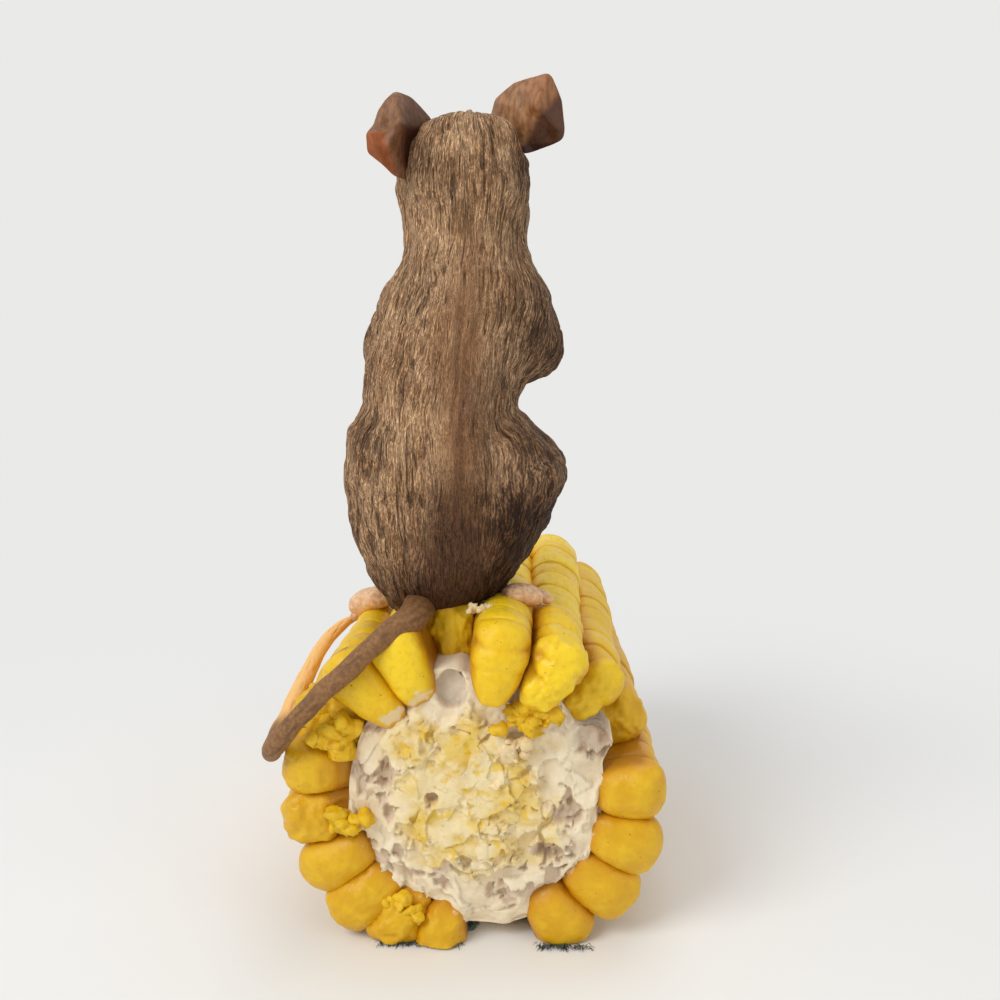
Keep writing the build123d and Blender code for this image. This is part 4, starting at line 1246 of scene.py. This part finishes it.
# Corners of the outlines seen from behind, x and z, and folds as two ends, width and height
RIGHT_EAR = [
    (1.2, 104.9), (1.9, 107.2), (4.3, 108.9), (6.9, 109.4), (8.3, 109.5), (9.0, 109.2), (9.7, 107.8), (10.3, 106.3),
    (10.7, 102.9), (10.5, 101.8), (9.2, 101.3), (6.2, 100.5), (4.2, 100.3), (2.5, 100.6), (1.5, 103.3),
]
RIGHT_FOLDS = (
    ((8.4, 109.3), (7.2, 105.6), 0.9, 0.9),
    ((7.2, 105.6), (9.8, 103.0), 0.8, 0.6),
    ((2.4, 106.3), (1.9, 102.0), 0.7, 0.6),
    ((8.6, 102.4), (6.6, 101.2), 0.9, -0.7),
)
LEFT_EAR = [
    (-10.0, 107.1), (-8.4, 106.8), (-7.3, 105.8), (-6.0, 104.4), (-5.6, 102.7), (-5.6, 100.2), (-6.5, 97.8),
    (-8.6, 96.7), (-10.3, 97.1), (-11.5, 98.3), (-13.2, 99.6), (-13.3, 101.8), (-12.5, 103.0), (-12.0, 104.7),
    (-11.2, 106.1),
]
LEFT_FOLDS = (
    ((-9.9, 106.6), (-9.3, 103.0), 0.8, 0.9),
    ((-9.3, 103.0), (-10.6, 100.2), 0.7, 0.7),
    ((-8.0, 101.2), (-7.5, 98.8), 1.1, -1.2),
    ((-12.9, 101.6), (-11.4, 98.6), 0.6, 0.5),
)
right_ear, right_inside = ear_shell(RIGHT_EAR, np.array([6.0, 104.6]), -13.2, (-0.42, -0.1), 2.2, RIGHT_FOLDS, 570)
x, _, z = np.moveaxis(right_ear, -1, 0)
edge_drift = 0.5 * soft_noise(right_ear / 1.6, 572)
# The right ear's painted shade: its lower right part and its bottom edge, over a faint even darker tone.
lower_right = s_curve(x + 0.75 * (105.2 - z) + edge_drift, 7.4, 9.0) * s_curve(x + edge_drift, 4.2, 6.2)
right_marks = {
    "warm": [0.25 * s_curve(x, 5.0, 8.0)],
    "ear_shade_and_tone": [np.clip(0.8 * lower_right + 0.3 * s_curve(101.8 - z, 0, 1.0) + 0.08, 0, 1)],
    "inside": [right_inside],
}
make_piece("leaf_ear_right", [right_ear], ear_paint.material, ["ear_right"], right_marks)

left_ear, left_inside = ear_shell(LEFT_EAR, np.array([-9.6, 101.9]), -17.4, (0.75, 0.1), 2.0, LEFT_FOLDS, 580)
x, _, z = np.moveaxis(left_ear, -1, 0)
edge_drift = 0.4 * soft_noise(left_ear / 1.4, 582)
facet = s_curve(-x - 0.2 * (z - 101) + edge_drift, 10.5, 11.2) * s_curve(102.6 - z + edge_drift, 0, 0.7)
# The left ear's painted shade: its hollow and its right part, over an even darker brown tone.
hollow = np.exp(-(((x + 7.6) / 1.7) ** 2) - ((z - 100.2) / 2.4) ** 2)
left_marks = {
    "warm": [np.clip(0.75 * facet + 0.2 * s_curve(104 - z, 0, 2), 0, 1)],
    "ear_shade_and_tone": [np.clip(0.75 * hollow + 0.35 * s_curve(x, -9.4, -8.4) + 0.4, 0, 1) * (1 - 0.8 * facet)],
    "inside": [left_inside],
}
make_piece("leaf_ear_left", [left_ear], ear_paint.material, ["ear_left"], left_marks)

# %% [markdown]
# ## Eyes and pin
# The eyes are black glass beads, and the solids' balls are already right. The steel pin inside holds the mouse on
# the cob. Both keep their solids and only get a finish.

# %% Eyes and pin
bead_paint = Paint("black_bead", {"Roughness": 0.08, "Coat Weight": 0.6})
bead_tone = bead_paint.noise((0.8, 0.8, 0.8)).step(0.3, 0.7)
bead_paint.feed({"Base Color": bead_paint.mix(bead_tone, colour(12, 9, 8), colour(30, 22, 18))})
steel_paint = Paint("steel_pin", {"Metallic": 1.0})
draw_lines = steel_paint.noise((0.2, 0.2, 6.0), 3)
steel_paint.feed({"Base Color": steel_paint.mix(draw_lines, colour(150, 150, 152), colour(188, 188, 190))})
steel_paint.feed({"Roughness": 0.25 + 0.2 * draw_lines})
for name, paint in (("eye_right", bead_paint), ("eye_left", bead_paint), ("mounting_pin", steel_paint)):
    for material_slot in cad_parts[name].material_slots:
        material_slot.material = paint.material

# %% [markdown]
# ## Tail
# The tail leaves the rump, falls over the broken end and runs along the side of the cob. It is one tapering tube
# through listed stations, with fine streaks along it, brown at the root and peach on the far stretch.

# %% Tail
tail_paint = Paint("tail_skin", {"Specular IOR Level": 0.35})
peach = tail_paint.mark("peach")
streak_mark = tail_paint.mark("streak")
tail_grain = tail_paint.noise((0.5, 0.5, 0.5), 4)
bark = tail_paint.mix(tail_grain.step(0.35, 0.65), colour(124, 86, 50), colour(150, 108, 66))
bark = tail_paint.mix(streak_mark * 0.45, bark, colour(86, 56, 34))
pale = tail_paint.mix(streak_mark * 0.3, colour(248, 198, 126), colour(228, 168, 92))
tail_paint.feed({"Base Color": tail_paint.mix(peach, bark, pale), "Roughness": 0.5 + 0.15 * tail_grain})
tail_paint.bump(tail_grain, 0.12)

TAIL_RINGS, TAIL_COLUMNS = 620, 64
TAIL_INSIDE = np.array([-6.4, -16.0, 44.2])
TAIL_ROOT = np.array([-7.3, -23.0, 43.5])
ROOT_RADII = (2.7, 2.35)
# Angle round the cob in degrees, place along the cob, share of the crown radius, and the tail's radius
TAIL_ROUTE = np.array([
    (-20.0, -27.4, 0.990, 1.92),
    (-24.4, -28.8, 0.985, 1.68),
    (-30.7, -30.3, 0.968, 1.46),
    (-38.2, -31.4, 0.952, 1.40),
    (-50.2, -31.8, 0.958, 1.36),
    (-58.4, -31.8, 0.980, 1.36),
    (-65.6, -31.4, 1.011, 1.40),
    (-73.6, -30.3, 1.056, 1.44),
    (-77.8, -28.4, 1.086, 1.46),
    (-76.4, -24.0, 1.096, 1.40),
    (-71.5, -18.5, 1.105, 1.32),
    (-66.5, -13.0, 1.115, 1.20),
    (-61.5, -9.0, 1.120, 1.10),
    (-57.5, -5.6, 1.110, 1.00),
    (-55.0, -2.6, 1.085, 0.85),
    (-54.0, -0.6, 1.055, 0.60),
])
route = round_cob(TAIL_ROUTE[:, 2] * crown_radius(TAIL_ROUTE[:, 1]), np.radians(TAIL_ROUTE[:, 0]), TAIL_ROUTE[:, 1])
tail_stations = np.concatenate([[TAIL_INSIDE, TAIL_ROOT], route])
tail_radii = np.concatenate([ROOT_RADII, TAIL_ROUTE[:, 3]])
tail_points = tube(tail_stations, tail_radii, TAIL_RINGS, TAIL_COLUMNS)
tail_run = np.linspace(0, 1, TAIL_RINGS)[:, None] * np.ones((1, TAIL_COLUMNS))
tail_turn = np.linspace(0, 2 * np.pi, TAIL_COLUMNS, endpoint=False)
lengthwise = np.broadcast_arrays(2.2 * np.cos(tail_turn), 2.2 * np.sin(tail_turn), tail_run * 22)
lengthwise = np.stack(lengthwise, axis=-1)
tail_streak = s_curve(soft_noise(lengthwise * 1.6, 600), 0.1, 0.7)
tail_streak = np.maximum(tail_streak, 1 - s_curve(tail_run, 0.08, 0.2))
tail_lumps = soft_noise(tail_points / 2.4, 601)
tail_points = tail_points + grid_normals(tail_points) * (0.14 * tail_lumps - 0.1 * tail_streak - 0.1)[..., None]
peach_share = s_curve(tail_run, 0.60, 0.68)
make_piece(
    "bare_tail",
    [tail_points],
    tail_paint.material,
    ["tail"],
    {"peach": [peach_share], "streak": [tail_streak]},
)

# %% [markdown]
# ## Hind feet
# Two peach-pink feet lie on the kernels on either side of the rump: a flat sole with four toes each. The right one
# is shorter and set further back, so only its edge shows beside the rump.

# %% Feet
foot_paint = Paint("foot_skin", {"Specular IOR Level": 0.35})
foot_grain = foot_paint.noise((0.7, 0.7, 0.7), 4)
foot_tone = foot_paint.mix(foot_grain.step(0.3, 0.7), colour(214, 164, 120), colour(248, 208, 164))
foot_paint.feed({"Base Color": foot_tone, "Roughness": 0.45 + 0.15 * foot_grain})
foot_paint.bump(foot_grain, 0.2)

HIP_TURN = -13.0
# Side, heel and toe angles in degrees from the hips' line, place of the heel, reach, length of the toes, size and sink
FEET = {"right": (1, 21.5, 32.5, -19.6, 3.0, 1.6, 0.95, 0.8), "left": (-1, 20.5, 34.0, -11.4, 8.6, 3.4, 1.2, -0.5)}
# Share of the way from heel to ball, lift over the crowns and half width of the sole
SOLE = ((0, 0.8, 1.5), (0.25, 1.1, 2.1), (0.65, 1.0, 2.4), (1.0, 0.6, 2.0))


def on_foot(foot, share, lift):
    """Point on the kernels along one foot, from heel to ball, raised by lift."""
    side, heel, toe, heel_y, reach, _, _, sink = foot
    y = heel_y + share * reach
    return round_cob(crown_radius(y) + lift - sink, np.radians(HIP_TURN + side * (heel + share * (toe - heel))), y)


for name, foot in FEET.items():
    sole_line = [on_foot(foot, share, lift) for share, lift, _ in SOLE]
    shells = [tube(sole_line, [foot[6] * half for _, _, half in SOLE], 60, 48, 0.65)]
    ball, ahead = sole_line[-1], sole_line[-1] - sole_line[0]
    ahead = ahead / np.linalg.norm(ahead)
    away = ball - np.array([0, ball[1], AXIS_HEIGHT])
    across = np.cross(ahead, away / np.linalg.norm(away))
    for fan in np.radians(22.0) * (np.arange(4) - 1.5):
        reach = ahead * np.cos(fan) + across * np.sin(fan)
        toe = [ball - reach * 0.8, ball + reach * 0.45 * foot[5] + away * 0.02, ball + reach * foot[5]]
        shells.append(tube(toe, (0.85, 0.8, 0.55), 26, 18))
    dents = [0.12 * soft_noise(shell / 1.1, 610) for shell in shells]
    shells = [shell + grid_normals(shell) * dent[..., None] for shell, dent in zip(shells, dents)]
    make_piece("bare_foot_" + name, shells, foot_paint.material, ["foot_" + name])
